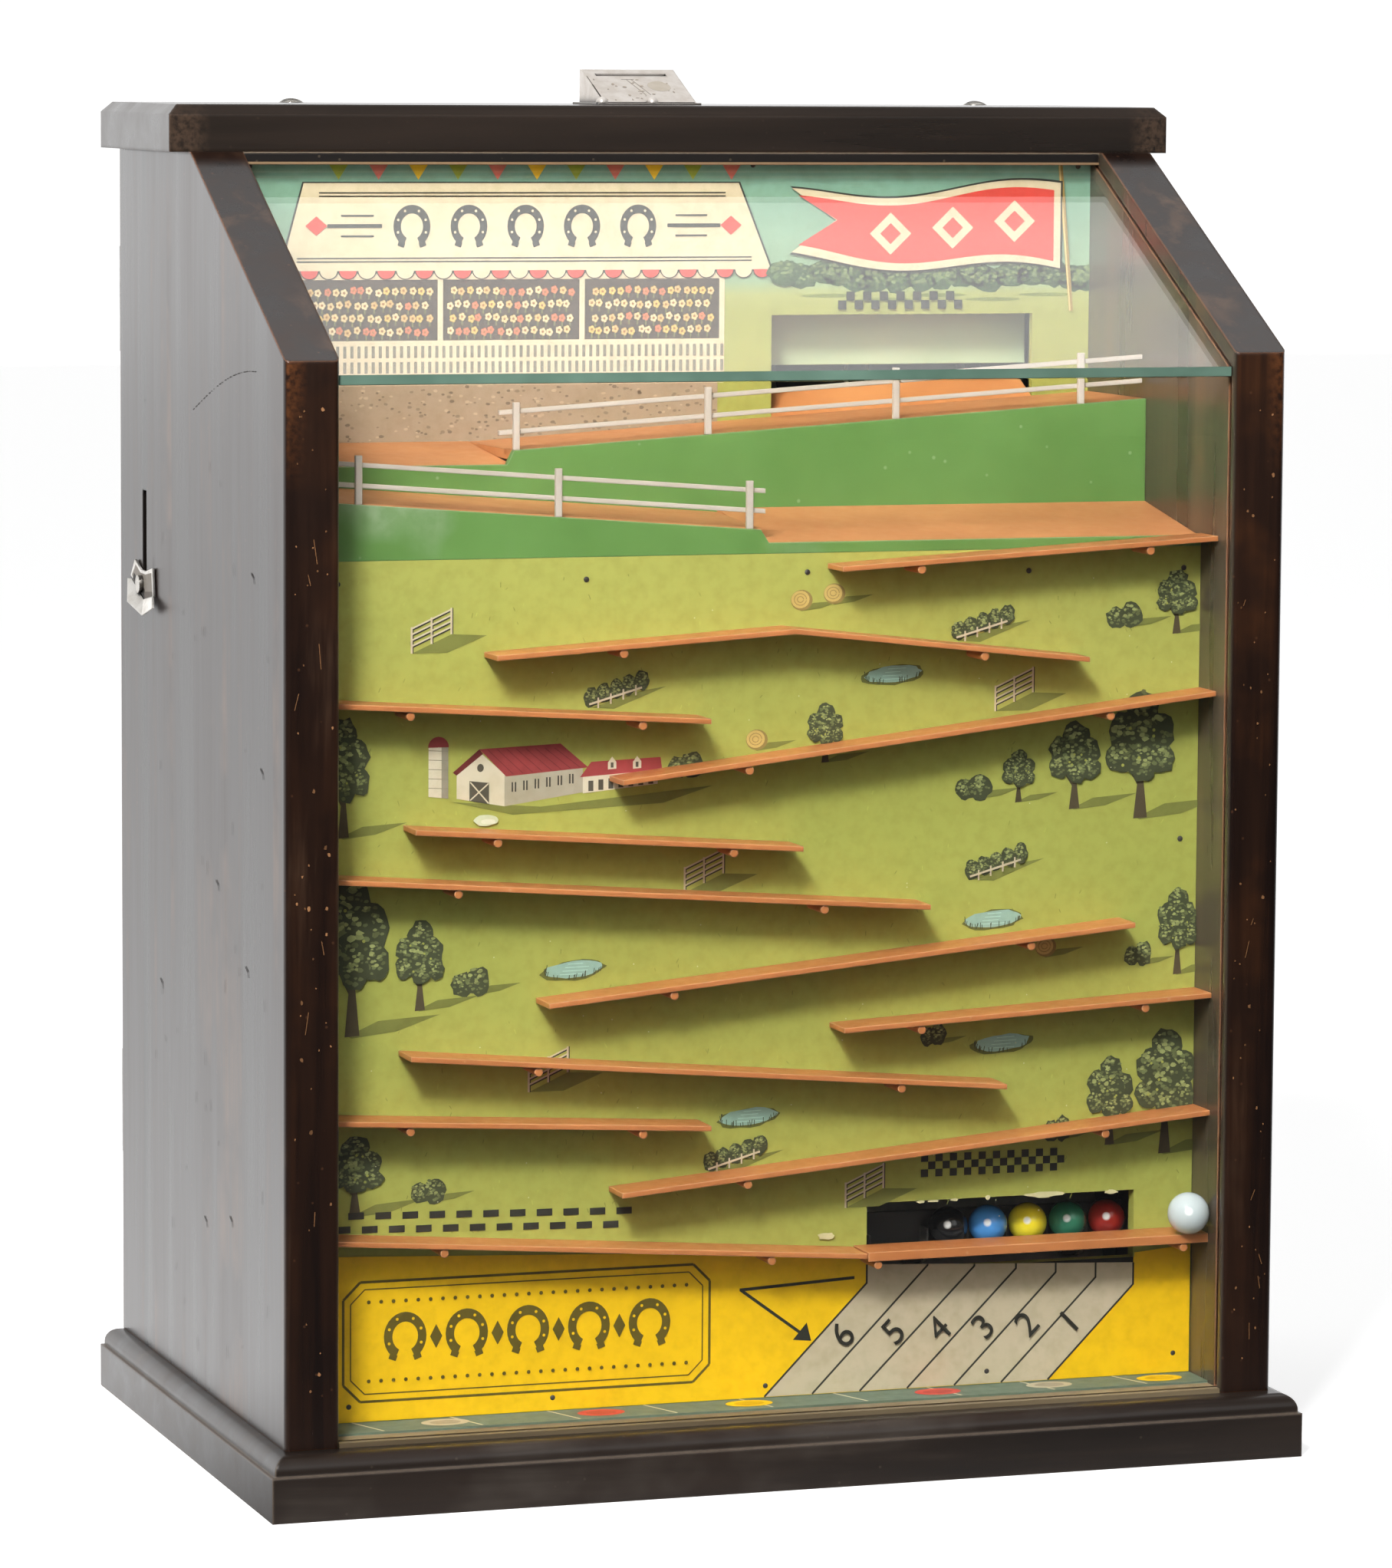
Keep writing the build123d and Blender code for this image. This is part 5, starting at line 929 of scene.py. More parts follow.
# %% [markdown]
# ## Painting the meadow
# The motifs are set where the rails leave room, mostly just past a rail's end, as obstacles on a course.
# A sprinkling of short grass strokes goes on first.
# %% Meadow
board_low, board_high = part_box("playfield_board")
field_face = board_low.y
meadow = InkSheet("meadow_motifs", (0, field_face, 0))
FIELD_LEFT = board_low.x / MM + 0.3
FIELD_RIGHT = board_high.x / MM - 0.3
GRASS_BLADES = 420
grass = random.Random(7)
for _ in range(GRASS_BLADES):
    blade_x = grass.uniform(FIELD_LEFT + 3, FIELD_RIGHT - 3)
    blade_z = grass.uniform(88, 314)
    meadow.motif()
    meadow.bar(blade_x, blade_z, blade_x + grass.uniform(-0.9, 0.9), blade_z + grass.uniform(0.7, 1.8), 0.22,
               shade(MEADOW, grass.choice((0.55, 0.7, 1.25))))
meadow.keep_ground()
farmstead(meadow, -112, 238)
TREES = (
    (1, 139, 224, 25, 44), (2, 114, 228, 19, 30), (3, 93, 231, 12, 18), (4, -149, 158, 25, 54),
    (5, -125, 166, 17, 30), (6, 150, 104, 22, 44), (7, 129, 108, 17, 31), (8, 152, 289, 15, 22),
    (9, -152, 226, 18, 40), (10, 21, 247, 13, 20), (11, -148, 96, 20, 27), (12, 154, 168, 15, 30),
)
for seed, x, foot, width, height in TREES:
    tree(meadow, seed, x, foot, width, height)
BUSHES = (
    (21, 76, 232, 13, 9), (22, -107, 170, 13, 10), (23, -122, 99, 12, 9), (24, 109, 110, 10, 9),
    (25, 132, 291, 13, 9), (26, 62, 146, 9, 8), (27, -30, 243, 12, 9), (28, 139, 171, 10, 9),
)
for seed, x, foot, width, height in BUSHES:
    bush(meadow, seed, x, foot, width, height)
for x, foot in ((-128, 288), (84, 263), (-30, 203), (30, 90), (-86, 136)):
    hurdle(meadow, x, foot, 14, 9)
for seed, x, foot in ((31, 70, 288), (32, -64, 268), (33, 76, 204), (34, -20, 105)):
    hedge(meadow, seed, x, foot, 18, 7)
for seed, x, z in ((41, 46, 277), (42, 84, 190), (43, -70, 178), (44, 88, 146), (45, -6, 124)):
    pond(meadow, seed, x, z, 20, 6)
for x, foot in ((12, 300), (24, 302), (-4, 252), (104, 176)):
    hay_bale(meadow, x, foot, 8)
meadow.keep_ground()
print("trees:", len(TREES), "bushes:", len(BUSHES))

# %% [markdown]
# ## Chequers, horseshoes and the yellow foot
# Where such boards carry lettering, this one has plain ornament in the same dark ink and of the same
# weight: a chequered strip over the finish and a dashed track along the last long rail.  The next cell
# draws a framed row of horseshoes on the yellow foot.
# %% Ornaments
def chequers(sheet, x, z, count, size, rows, colour):
    for row in range(rows):
        for step in range(row % 2, count, 2):
            sheet.box(x + step * size, x + (step + 1) * size, z + row * size, z + (row + 1) * size, colour)


def horseshoe(sheet, x, z, size, colour, ground):
    sheet.arch(x, z, size, size * 0.60, -62, 242, colour, 1.12, 24)
    for hand in (-1, 1):
        tip_x = x + hand * size * 0.40
        sheet.bar(tip_x, z - size * 0.99, tip_x + hand * size * 0.34, z - size * 0.86, size * 0.26, colour)
        for hole in (-20, 22, 62):
            angle = radians(90 + hand * (90 - hole))
            sheet.oval(x + size * 0.80 * cos(angle), z + size * 0.90 * sin(angle), size * 0.07, size * 0.07,
                       ground, 8)


def diamond(sheet, x, z, half_width, half_height, colour):
    sheet.shape([(x, z + half_height), (x + half_width, z), (x, z - half_height), (x - half_width, z)], colour)


def cut_corner_frame(sheet, x0, x1, z0, z1, cut, width, colour):
    corners = [(x0 + cut, z0), (x1 - cut, z0), (x1, z0 + cut), (x1, z1 - cut), (x1 - cut, z1), (x0 + cut, z1),
               (x0, z1 - cut), (x0, z0 + cut)]
    for start, end in zip(corners, corners[1:] + corners[:1]):
        sheet.bar(*start, *end, width, colour)


DASHES = 11
DASH_PITCH = 9.6
DASH_FALL = 0.28
chequers(meadow, 58.0, 99.5, 20, 2.7, 3, INK)
for dash in range(DASHES):
    for left, low in ((-155, 90.2), (-150.2, 94.8)):
        x = left + dash * DASH_PITCH
        z = low - dash * DASH_FALL
        meadow.box(x, x + 5.6, z, z + 2.4, INK)
print("dashes:", DASHES * 2)

# %% [markdown]
# ## Lanes of the starting order
# The yellow foot has a cream card of six slanting lanes that lead down from the finish pockets.  A plain
# number marks each lane, and an arrow points to them.  The card's top slants past the window's sill, and a
# dark wedge of painted shade, carrying on the shadow inside the finish window, fills what is left
# between the two.
# %% Yellow foot and lane card
LANE_TOPS_X = (38.1, 60.8, 78.4, 94.1, 109.2, 124.4, 138.8)
LANE_LINE = 0.7
LANE_TOP_Z = 69.6
LANE_FALL = 0.045
LANE_DROPS = (6.8, 0.6, 1.0, 2.0, 3.5, 5.4, 8.0)
LANE_FOOT_X = 0.4
LANE_FOOT_SPACING = 17.7
FOOT_Z = board_low.z / MM + 2.6
FOOT_INK = (0.115, 0.085, 0.012)
WINDOW_SILL_Z = 67.1
GAP_SHADE = (0.012, 0.011, 0.010)


def lane_top(x):
    return LANE_TOP_Z - LANE_FALL * (x - LANE_TOPS_X[0])


meadow.shape([(FIELD_LEFT, FOOT_Z), (FIELD_RIGHT, FOOT_Z), (FIELD_RIGHT, 70.5), (139.2, 68.6),
              (139.2, WINDOW_SILL_Z), (38.2, WINDOW_SILL_Z), (38.2, 71.8), (34.0, 74.5), (FIELD_LEFT, 82.5)], YELLOW)
lane_feet = [LANE_FOOT_X + LANE_FOOT_SPACING * index for index in range(len(LANE_TOPS_X))]
left_x, right_x = LANE_TOPS_X[0], LANE_TOPS_X[-1]
meadow.shape([(left_x, lane_top(left_x)), (right_x, lane_top(right_x)), (right_x, lane_top(right_x) - LANE_DROPS[-1]),
              (lane_feet[-1], FOOT_Z + 0.1), (lane_feet[0], FOOT_Z + 0.1),
              (left_x, lane_top(left_x) - LANE_DROPS[0])], CREAM)
# Painted shade: a near-black wedge between the window's sill and the card's top
meadow.shape([(left_x + (LANE_TOP_Z - WINDOW_SILL_Z) / LANE_FALL, WINDOW_SILL_Z), (right_x, lane_top(right_x)),
              (right_x, WINDOW_SILL_Z)], GAP_SHADE)
for top_x, foot_x, drop in zip(LANE_TOPS_X, lane_feet, LANE_DROPS):
    turn_z = lane_top(top_x) - drop
    meadow.bar(top_x, lane_top(top_x), top_x, turn_z, LANE_LINE, INK)
    meadow.bar(top_x, turn_z + 0.2, foot_x, FOOT_Z + 0.1, LANE_LINE, INK)
meadow.bar(-9, 63.0, 33.5, 65.2, 1.1, INK)
meadow.bar(-8.6, 63.0, 14.5, 46.0, 1.1, INK)
meadow.shape([(17.6, 43.6), (15.9, 50.2), (10.8, 44.3)], INK)

cut_corner_frame(meadow, -152, -20, 31.5, 73.0, 6, 0.9, FOOT_INK)
cut_corner_frame(meadow, -149.4, -22.6, 34.1, 70.4, 5, 0.45, FOOT_INK)
for index in range(5):
    horseshoe(meadow, -130 + index * 22, 53.5, 7.6, FOOT_INK, YELLOW)
for index in range(4):
    diamond(meadow, -119 + index * 22, 53.0, 2.2, 4.2, FOOT_INK)
for index in range(27):
    for level in (38.6, 66.0):
        meadow.oval(-143 + index * 4.4, level, 0.7, 0.7, FOOT_INK, 8)
WINDOW_CHIPS = ((57.8, 90.9, 1.6, 0.5), (62.5, 90.9, 2.2, 0.4), (70.4, 91.0, 1.4, 0.5), (83.1, 91.3, 0.9, 0.8),
                (104.0, 91.2, 7.0, 1.0), (129.7, 91.0, 2.6, 0.7), (22.7, 80.6, 3.4, 1.2))
SPECKS = 60
chip_rng = random.Random(3)
for x, z, half_width, half_height in WINDOW_CHIPS:
    meadow.oval(x, z, half_width, half_height, (0.62, 0.58, 0.34), 14, 0.22, chip_rng)
meadow.oval(-101.7, 230.4, 4.4, 1.9, (0.55, 0.60, 0.42), 18, 0.1, chip_rng)
meadow.oval(-100.9, 230.0, 2.6, 0.9, (0.66, 0.68, 0.55), 14, 0.1, chip_rng)
for _ in range(SPECKS):
    meadow.oval(chip_rng.uniform(-158, 158), chip_rng.uniform(84, 312), 0.25, 0.2, (0.55, 0.56, 0.35), 6)
meadow.finish("case", "playfield_print")

# %% [markdown]
# ## Numbers in the lanes
# The numbers are real letter shapes: a text object set in the plain built-in face, made into a mesh, turned
# along its lane and laid on the card.
# %% Lane numbers
printing_black, black_tree, black_shader = start_finish("printing black", 0.5)
mottle(black_tree, black_shader, (0.030, 0.028, 0.022), 60.0, 0.45)
NUMBER_SIZE = 13.5
NUMBER_HEIGHT = 45.0
NUMBER_STAND = (meadow.deepest + 0.03) * MM


def printed_number(label, x, z, lean):
    curve = bpy.data.curves.new("number_" + label, "FONT")
    curve.body = label
    curve.size = NUMBER_SIZE * MM
    curve.align_x = "CENTER"
    curve.align_y = "CENTER"
    text = add_object("number_" + label, curve)
    bpy.context.view_layer.update()
    mesh = bpy.data.meshes.new_from_object(text.evaluated_get(bpy.context.evaluated_depsgraph_get()))
    bpy.data.objects.remove(text)
    place = (Matrix.Translation((x * MM, field_face - NUMBER_STAND, z * MM)) @ Matrix.Rotation(lean, 4, "Y")
             @ Matrix.Rotation(pi / 2, 4, "X"))
    mesh.transform(place)
    mesh.materials.clear()
    mesh.materials.append(printing_black)
    made = add_object("lane_number_" + label, mesh)
    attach(made, "case")


LANES = len(LANE_TOPS_X) - 1
for index in range(LANES):
    middle_x = (LANE_TOPS_X[index] + LANE_TOPS_X[index + 1] + lane_feet[index] + lane_feet[index + 1]) / 4
    printed_number(str(LANES - index), middle_x, NUMBER_HEIGHT, radians(-45))
print("numbers:", LANES)

# %% [markdown]
# ## The picture behind the tracks
# The upper board shows a pavilion under an awning on the left and a flag over a meadow on the right.  The
# awning is a cream panel with ruled lines, horseshoes and a scalloped edge; under it are three dark bays
# with rows of flowers, a white lattice and a gravel path.
# %% Pavilion
picture_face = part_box("picture_board")[0].y
picture = InkSheet("picture_motifs", (0, picture_face, 0))
SIGN = (0.66, 0.55, 0.37)
flowers = random.Random(11)
PAVILION_LEFT = -140.0
PAVILION_RIGHT = 20.0
BAY_COUNT = 3
BLOOMS = 15
BLOOM_TONES = ((0.62, 0.47, 0.22), (0.55, 0.36, 0.13), (0.66, 0.53, 0.30), (0.58, 0.40, 0.10), (0.50, 0.14, 0.06))
BAY_TOP = 409.0
BAY_FOOT = 387.5
LATTICE_FOOT = 374.0
GRAVEL = (0.34, 0.255, 0.175)
STONES = 500
BAY_DARK = (0.050, 0.034, 0.020)
picture.box(-160.5, 17.5, 346, LATTICE_FOOT, GRAVEL)
for _ in range(STONES):
    stone_x = flowers.uniform(-160, 17)
    stone_z = flowers.uniform(347, LATTICE_FOOT)
    size = flowers.uniform(0.25, 0.6)
    picture.motif()
    picture.depth += LAYER * 2
    picture.oval(stone_x, stone_z, size * 1.6, size, shade(GRAVEL, flowers.choice((0.55, 0.7, 1.3))), 6, 0.2, flowers)
picture.keep_ground()
picture.box(PAVILION_LEFT, PAVILION_RIGHT, LATTICE_FOOT, BAY_TOP + 2, SIGN)
bay_width = (PAVILION_RIGHT - PAVILION_LEFT - 2) / BAY_COUNT
bay_lefts = [PAVILION_LEFT + 2 + bay * bay_width for bay in range(BAY_COUNT)]
for left in bay_lefts:
    picture.box(left, left + bay_width - 2, BAY_FOOT, BAY_TOP, BAY_DARK)
picture.keep_ground()
for left in bay_lefts:
    for row in range(4):
        row_z = BAY_FOOT + 3.2 + row * 4.7
        for step in range(BLOOMS):
            bloom_x = left + 2.4 + (step + row % 2 / 2) * (bay_width - 6) / BLOOMS + flowers.uniform(-0.4, 0.4)
            bloom_z = row_z + flowers.uniform(-0.5, 0.5)
            tone = flowers.choice(BLOOM_TONES)
            picture.motif()
            picture.depth += LAYER * 2
            picture.bar(bloom_x, bloom_z - 3.0, bloom_x, bloom_z, 0.5, (0.16, 0.17, 0.05))
            for petal in range(5):
                turn = petal * 2 * pi / 5
                picture.oval(bloom_x + 0.75 * cos(turn), bloom_z + 0.85 * sin(turn), 0.65, 0.65, tone, 6)
            picture.oval(bloom_x, bloom_z, 0.5, 0.5, (0.30, 0.13, 0.03), 6)
    picture.depth = picture.deepest
for step in range(61):
    slot_x = PAVILION_LEFT + 2.4 + step * 2.6
    for low, high in ((376.0, 380.0), (381.4, 385.6)):
        picture.box(slot_x, slot_x + 1.15, low, high, (0.20, 0.18, 0.13))
print("bays:", BAY_COUNT)

# %% [markdown]
# ## Awning and bunting
# The awning's lower edge is a row of half-round scallops in two colours, and small flags of three colours
# hang along its top.
# %% Awning
picture.shape([(-146, 411.5), (38.5, 411.5), (25.5, 443.5), (-137, 443.5)], INK)
picture.shape([(-145, 412), (37.5, 412), (25, 443), (-136.5, 443)], SIGN)
SCALLOPS = 26
for index in range(SCALLOPS):
    centre_x = -145 + (index + 0.5) * 182.5 / SCALLOPS
    tone = SCARLET if index % 2 else SIGN
    picture.arch(centre_x, 412.2, 3.5, 0.05, 180, 360, tone, 0.9, 10)
    picture.arch(centre_x, 412.2, 3.5, 3.15, 180, 360, INK, 0.9, 10)
for level, left, right_end in ((439.6, -131, 20), (438.4, -131, 20), (416.6, -139, 30), (415.4, -139, 30)):
    picture.bar(left, level, right_end, level, 0.45, INK)
for index in range(5):
    horseshoe(picture, -97 + index * 21, 427.8, 6.8, INK, SIGN)
for hand, start in ((-1, -108), (1, -2)):
    picture.bar(start, 428, start + hand * 20, 428, 1.3, INK)
    picture.bar(start + hand * 3, 431.6, start + hand * 15, 431.6, 0.6, INK)
    picture.bar(start + hand * 3, 424.4, start + hand * 15, 424.4, 0.6, INK)
    diamond(picture, start + hand * 24, 428, 4, 3.4, SCARLET)
BUNTING = ((0.28, 0.33, 0.03), (0.55, 0.14, 0.10), (0.78, 0.48, 0.02))
for index in range(11):
    flag_x = -128 + index * 14.6
    picture.shape([(flag_x, 450.5), (flag_x + 8.2, 450.5), (flag_x + 4.1, 444.2)], BUNTING[index % 3])
picture.bar(-136, 450.6, 26, 450.6, 0.4, INK)
print("scallops:", SCALLOPS)

# %% [markdown]
# ## Flag and far trees
# The flag has two tails and a wave along its edges, drawn as a strip whose height follows a sine.  A cream
# border shows around its red field, which carries three plain diamonds.
# %% Flag
far = random.Random(5)
for index in range(17):
    clump_x = 42 + index * 7.4 + far.uniform(-2, 2)
    leaf_clump(picture, far, clump_x, 407.6 + far.uniform(0, 4), 6.5, 4.6, (0.040, 0.075, 0.030),
               (0.085, 0.13, 0.05), (0.15, 0.20, 0.08))
    picture.motif()
for index in range(5):
    picture.oval(60 + index * 21, 402.5 - index % 2 * 1.6, 11, 0.7, (0.17, 0.20, 0.05), 14)
    picture.motif()
picture.depth = picture.deepest
FLAG_HOIST = 149.0
FLAG_LENGTH = 104.0
FLAG_TOP = 442.0
FLAG_DROP = 31.0


def flag_wave(along):
    return sin(along * 2.2 * pi + 0.4)


def flag_strip(inset, colour):
    top = []
    foot = []
    steps = 26
    for index in range(steps + 1):
        along = index / steps
        x = FLAG_HOIST - inset - (FLAG_LENGTH - inset * 2) * along
        wave = 2.6 * flag_wave(along)
        taper = 5.0 * along
        top.append((x, FLAG_TOP - inset + wave - taper * 0.6))
        foot.append((x, FLAG_TOP - FLAG_DROP + inset + wave + taper))
    notch = (top[-1][0] + 17 - inset * 0.8, (top[-1][1] + foot[-1][1]) / 2)
    picture.shape(top + [notch] + foot[::-1], colour)


picture.bar(153.5, 396.5, 148.6, 451, 1.7, (0.30, 0.20, 0.06))
picture.bar(153.1, 396.5, 148.2, 451, 0.6, (0.62, 0.46, 0.18))
flag_strip(-0.7, INK)
flag_strip(0.0, SIGN)
flag_strip(2.6, SCARLET)
for index in range(3):
    mark_x = 131 - index * 24
    mark_z = 427.0 + 2.2 * flag_wave((FLAG_HOIST - mark_x) / FLAG_LENGTH)
    diamond(picture, mark_x, mark_z, 8, 7.6, SIGN)
    diamond(picture, mark_x, mark_z, 4, 3.8, SCARLET)
chequers(picture, 63.0, 397.6, 15, 3.2, 2, INK)
picture.finish("case", "picture_print")

# %% [markdown]
# ## The card on the floor
# The narrow strip of card that lies between the glass and the board is teal, with cream rules across it
# and a few round spots in orange and cream.
# %% Floor card
card_low, card_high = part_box("floor_card")
floor_card = InkSheet("floor_card_spots", (0, card_low.y, card_high.z), (1, 0, 0), (0, 1, 0))
for index in range(9):
    line_x = -142 + index * 35
    floor_card.bar(line_x, 0.6, line_x - 7, 16.6, 0.9, (0.62, 0.55, 0.38))
SPOTS = ((-118, CREAM), (-62, SCARLET), (-8, YELLOW), (62, SCARLET), (104, CREAM), (146, YELLOW))
for x, tone in SPOTS:
    floor_card.oval(x, 8.6, 8.5, 5.2, shade(tone, 0.9), 26)
    floor_card.oval(x, 8.6, 5.5, 3.2, shade(tone, 0.6), 22)
floor_card.finish("case", "floor_card")

# %% [markdown]
# ## Scratches and painted shade
# Years of use left a faint arc across the upper left side, a few dark nicks, and small spots on the front
# edges where the lacquer chipped down to orange wood.  The coin head has a seam and stains.  Inside the
# finger lever, a gray-brown patch and darker wedges along its folds are painted shade in its recess.  All
# are drawn as the prints are, with thin shapes.
# %% Scratches and painted shade
side_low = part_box("left_side")[0]
side_marks = InkSheet("left_side_marks", (side_low.x, 0, 0), (0, -1, 0), (0, 0, 1))
MARK_AND_SHADE_DARK = (0.030, 0.024, 0.020)
METAL_LAYER = 0.02
SIDE_NICKS = 40
HEAD_STAINS = 26
EDGE_CHIPS = 46
EDGE_SCRAPES = 7
EDGE_MIDDLE_X = 170.5
mark_rng = random.Random(17)
ARC = [(-12 + 11 * step, 366 + 17.5 * sin(pi / 2 * step / 8)) for step in range(9)]
for (x0, z0), (x1, z1) in zip(ARC, ARC[1:]):
    for part in (0.1, 0.4, 0.7):
        end = part + mark_rng.uniform(0.05, 0.22)
        side_marks.bar(x0 + (x1 - x0) * part, z0 + (z1 - z0) * part, x0 + (x1 - x0) * end, z0 + (z1 - z0) * end, 0.35,
                       MARK_AND_SHADE_DARK)
for x, z in ((68.2, 315.2), (3.0, 84.2), (38.2, 90.1), (80.0, 250.0), (-60.0, 160.0), (20.0, 205.0), (60.0, 180.0)):
    side_marks.bar(x, z, x + 3.2, z - 1.6, 0.7, MARK_AND_SHADE_DARK)
    side_marks.bar(x + 3.0, z - 1.4, x + 3.8, z - 3.4, 0.5, MARK_AND_SHADE_DARK)
for _ in range(SIDE_NICKS):
    x = mark_rng.uniform(-95, 90)
    z = mark_rng.uniform(30, 370)
    side_marks.bar(x, z, x + mark_rng.uniform(-0.6, 0.6), z + mark_rng.uniform(0.8, 5.0), 0.25,
                   shade(MARK_AND_SHADE_DARK, mark_rng.uniform(0.6, 3.5)))
side_marks.finish("case", "side_wood")
head_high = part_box("coin_head")[1]
HEAD_WIDTH = 35.3
HEAD_DEPTH = 28.6
HEAD_HEIGHT = 11.8
head_left = head_high.x - (HEAD_WIDTH + 1) * MM
head_foot = Vector((head_left, head_high.y - HEAD_DEPTH * MM, head_high.z - HEAD_HEIGHT * MM))
slope = Vector((0, HEAD_DEPTH - 1.5, HEAD_HEIGHT)).normalized()
SLOPE_LENGTH = Vector((HEAD_DEPTH - 1.5, HEAD_HEIGHT)).length
coin_marks = InkSheet("coin_head_marks", head_foot, (1, 0, 0), slope, METAL_LAYER)
SEAM = (0.050, 0.040, 0.034)
STAIN = (0.42, 0.35, 0.29)
coin_marks.bar(0.5, 0.4, 0.5, SLOPE_LENGTH * 0.55, 0.55, SEAM)
coin_marks.bar(0.5, SLOPE_LENGTH * 0.55, 0.5, SLOPE_LENGTH * 0.8, 0.3, shade(SEAM, 3))
coin_marks.bar(0.3, 0.35, 34.8, 0.35, 0.55, SEAM)
for lean_x in (17.3, 19.2):
    coin_marks.bar(lean_x - 2.6, 20.5, lean_x + 0.9, 7.0, 0.35, STAIN)
coin_marks.bar(12.8, 20.8, 17.6, 20.8, 0.4, shade(STAIN, 0.8))
coin_marks.oval(25.5, 14.5, 4.2, 4.6, (0.60, 0.53, 0.46), 18, 0.08, mark_rng)
for _ in range(HEAD_STAINS):
    coin_marks.oval(mark_rng.uniform(2, 33), mark_rng.uniform(2, 22), mark_rng.uniform(0.2, 0.8),
                    mark_rng.uniform(0.2, 0.9), shade(STAIN, mark_rng.uniform(1.1, 1.5)), 7, 0.3, mark_rng)
coin_marks.finish("case", "nickel")
stem_low, stem_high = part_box("lever_screw")
SCREW_HEAD_MM = 1.6
stem_middle = (stem_low + stem_high) / 2
shield_face = Vector((stem_low.x + SCREW_HEAD_MM * MM, stem_middle.y, stem_middle.z))
# Painted shade in the finger lever's recess: a gray-brown patch, a dark wedge along the rear-lower fold and a
# mid-tone one along the front-lower fold
lever_painted_shade = InkSheet("lever_painted_shade", shield_face, (0, -1, 0), (0, 0, 1), METAL_LAYER)
lever_painted_shade.shape([(15.8, -2.8), (4.2, -4.4), (-12.6, 1.4), (-14.4, 2.3), (-9.0, 6.3), (-1.6, 3.9), (5.7, 3.8),
                   (14.4, 5.0)], (0.30, 0.265, 0.23))
lever_painted_shade.shape([(4.3, -4.9), (-13.0, 1.1), (-11.4, 3.2), (4.6, -1.6)], MARK_AND_SHADE_DARK)
lever_painted_shade.shape([(4.3, -4.9), (16.2, -3.2), (15.8, -1.6), (5.0, -2.4)], (0.15, 0.125, 0.105))
lever_painted_shade.finish("start_slide", "nickel")
CHIP = (0.42, 0.20, 0.09)
front_marks = InkSheet("front_edge_marks", (0, side_low.y, 0))
for edge_x in (-EDGE_MIDDLE_X, EDGE_MIDDLE_X):
    for _ in range(EDGE_CHIPS):
        size = mark_rng.choice((0.25, 0.25, 0.3, 0.4, 0.6))
        front_marks.oval(edge_x + mark_rng.uniform(-7.5, 7.5), 30 + 352 * mark_rng.random() ** 0.8, size, size * 1.3,
                         shade(CHIP, mark_rng.uniform(0.35, 1.2)), 7, 0.3, mark_rng)
    for _ in range(EDGE_SCRAPES):
        x = edge_x + mark_rng.uniform(-7, 7)
        z = mark_rng.uniform(40, 330)
        front_marks.bar(x, z, x + mark_rng.uniform(-1.5, 1.5), z + mark_rng.uniform(2, 9), 0.3, shade(CHIP, 0.6))
front_marks.finish("case", "side_wood")

# %% [markdown]
# ## Smooth marbles
# A marble is a true sphere, so it needs a fine mesh with smooth shading.  The finish window shows five of
# them in a row; their places come from the box around the frame's marbles.
# %% Marbles
RACERS = ("black", "blue", "yellow", "green", "red")


def marble(tone, centre, radius, body, node):
    """A smooth sphere in the place of a ball of the frame."""
    bm = bmesh.new()
    bmesh.ops.create_uvsphere(bm, u_segments=48, v_segments=28, radius=radius)
    bmesh.ops.translate(bm, verts=bm.verts, vec=centre)
    for face in bm.faces:
        face.smooth = True
    made = add_piece(tone + "_marble", bm, ball_finishes[tone], body)
    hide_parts(node)


row_low, row_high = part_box("racing_balls")
radius = (row_high.z - row_low.z) / 2
middle = (row_low + row_high) / 2
pitch = (row_high.x - row_low.x - 2 * radius) / (len(RACERS) - 1)
for index, tone in enumerate(RACERS):
    place = Vector((row_low.x + radius + pitch * index, middle.y, middle.z))
    marble(tone, place, radius, "tray", "racing_balls")
spare_low, spare_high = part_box("white_ball")
marble("white", (spare_low + spare_high) / 2, (spare_high.z - spare_low.z) / 2, "case",
       "white_ball")
print("marbles of", round(radius / MM * 2, 1), "mm")

# %% [markdown]
# ## Small nails and screws
# Both boards are held by small black nails with domed heads.  The same shape makes the two screws at the
# front of the coin head.
# %% Nails and screws
NAIL_RADIUS = 1.0
NAIL_RISE = 0.5
NAIL_STAND = 0.1
BOARD_NAILS = ((154.5, 31.5), (0.8, 28.6), (83.5, 29.0), (-77, 29), (-150, 30), (-66, 312), (14, 313), (96, 312),
               (-154, 200), (154.5, 216), (-154, 312), (154.5, 312))
PICTURE_NAILS = ((-156, 449), (30.5, 449.5), (156, 449), (-156, 352), (26, 352), (150, 352))
HEAD_SCREWS = ((-0.02, 1.3), (0.52, 2.0))


def domed_head(name, centre, axis, radius, rise, finish):
    """A shallow dome that faces along axis."""
    bm = bmesh.new()
    bmesh.ops.create_uvsphere(bm, u_segments=20, v_segments=12, radius=radius)
    cut = bmesh.ops.bisect_plane(bm, geom=bm.verts[:] + bm.edges[:] + bm.faces[:], plane_co=(0, 0, 0),
                                 plane_no=(0, 0, 1), clear_inner=True)
    bmesh.ops.holes_fill(bm, edges=[edge for edge in cut["geom_cut"] if isinstance(edge, bmesh.types.BMEdge)])
    bmesh.ops.scale(bm, verts=bm.verts, vec=(1, 1, rise / radius))
    turn = Vector(axis).to_track_quat("Z", "Y").to_matrix().to_4x4()
    bmesh.ops.transform(bm, matrix=Matrix.Translation(centre) @ turn, verts=bm.verts)
    for face in bm.faces:
        face.smooth = len(face.verts) < 5
    add_piece(name, bm, finish, "case")


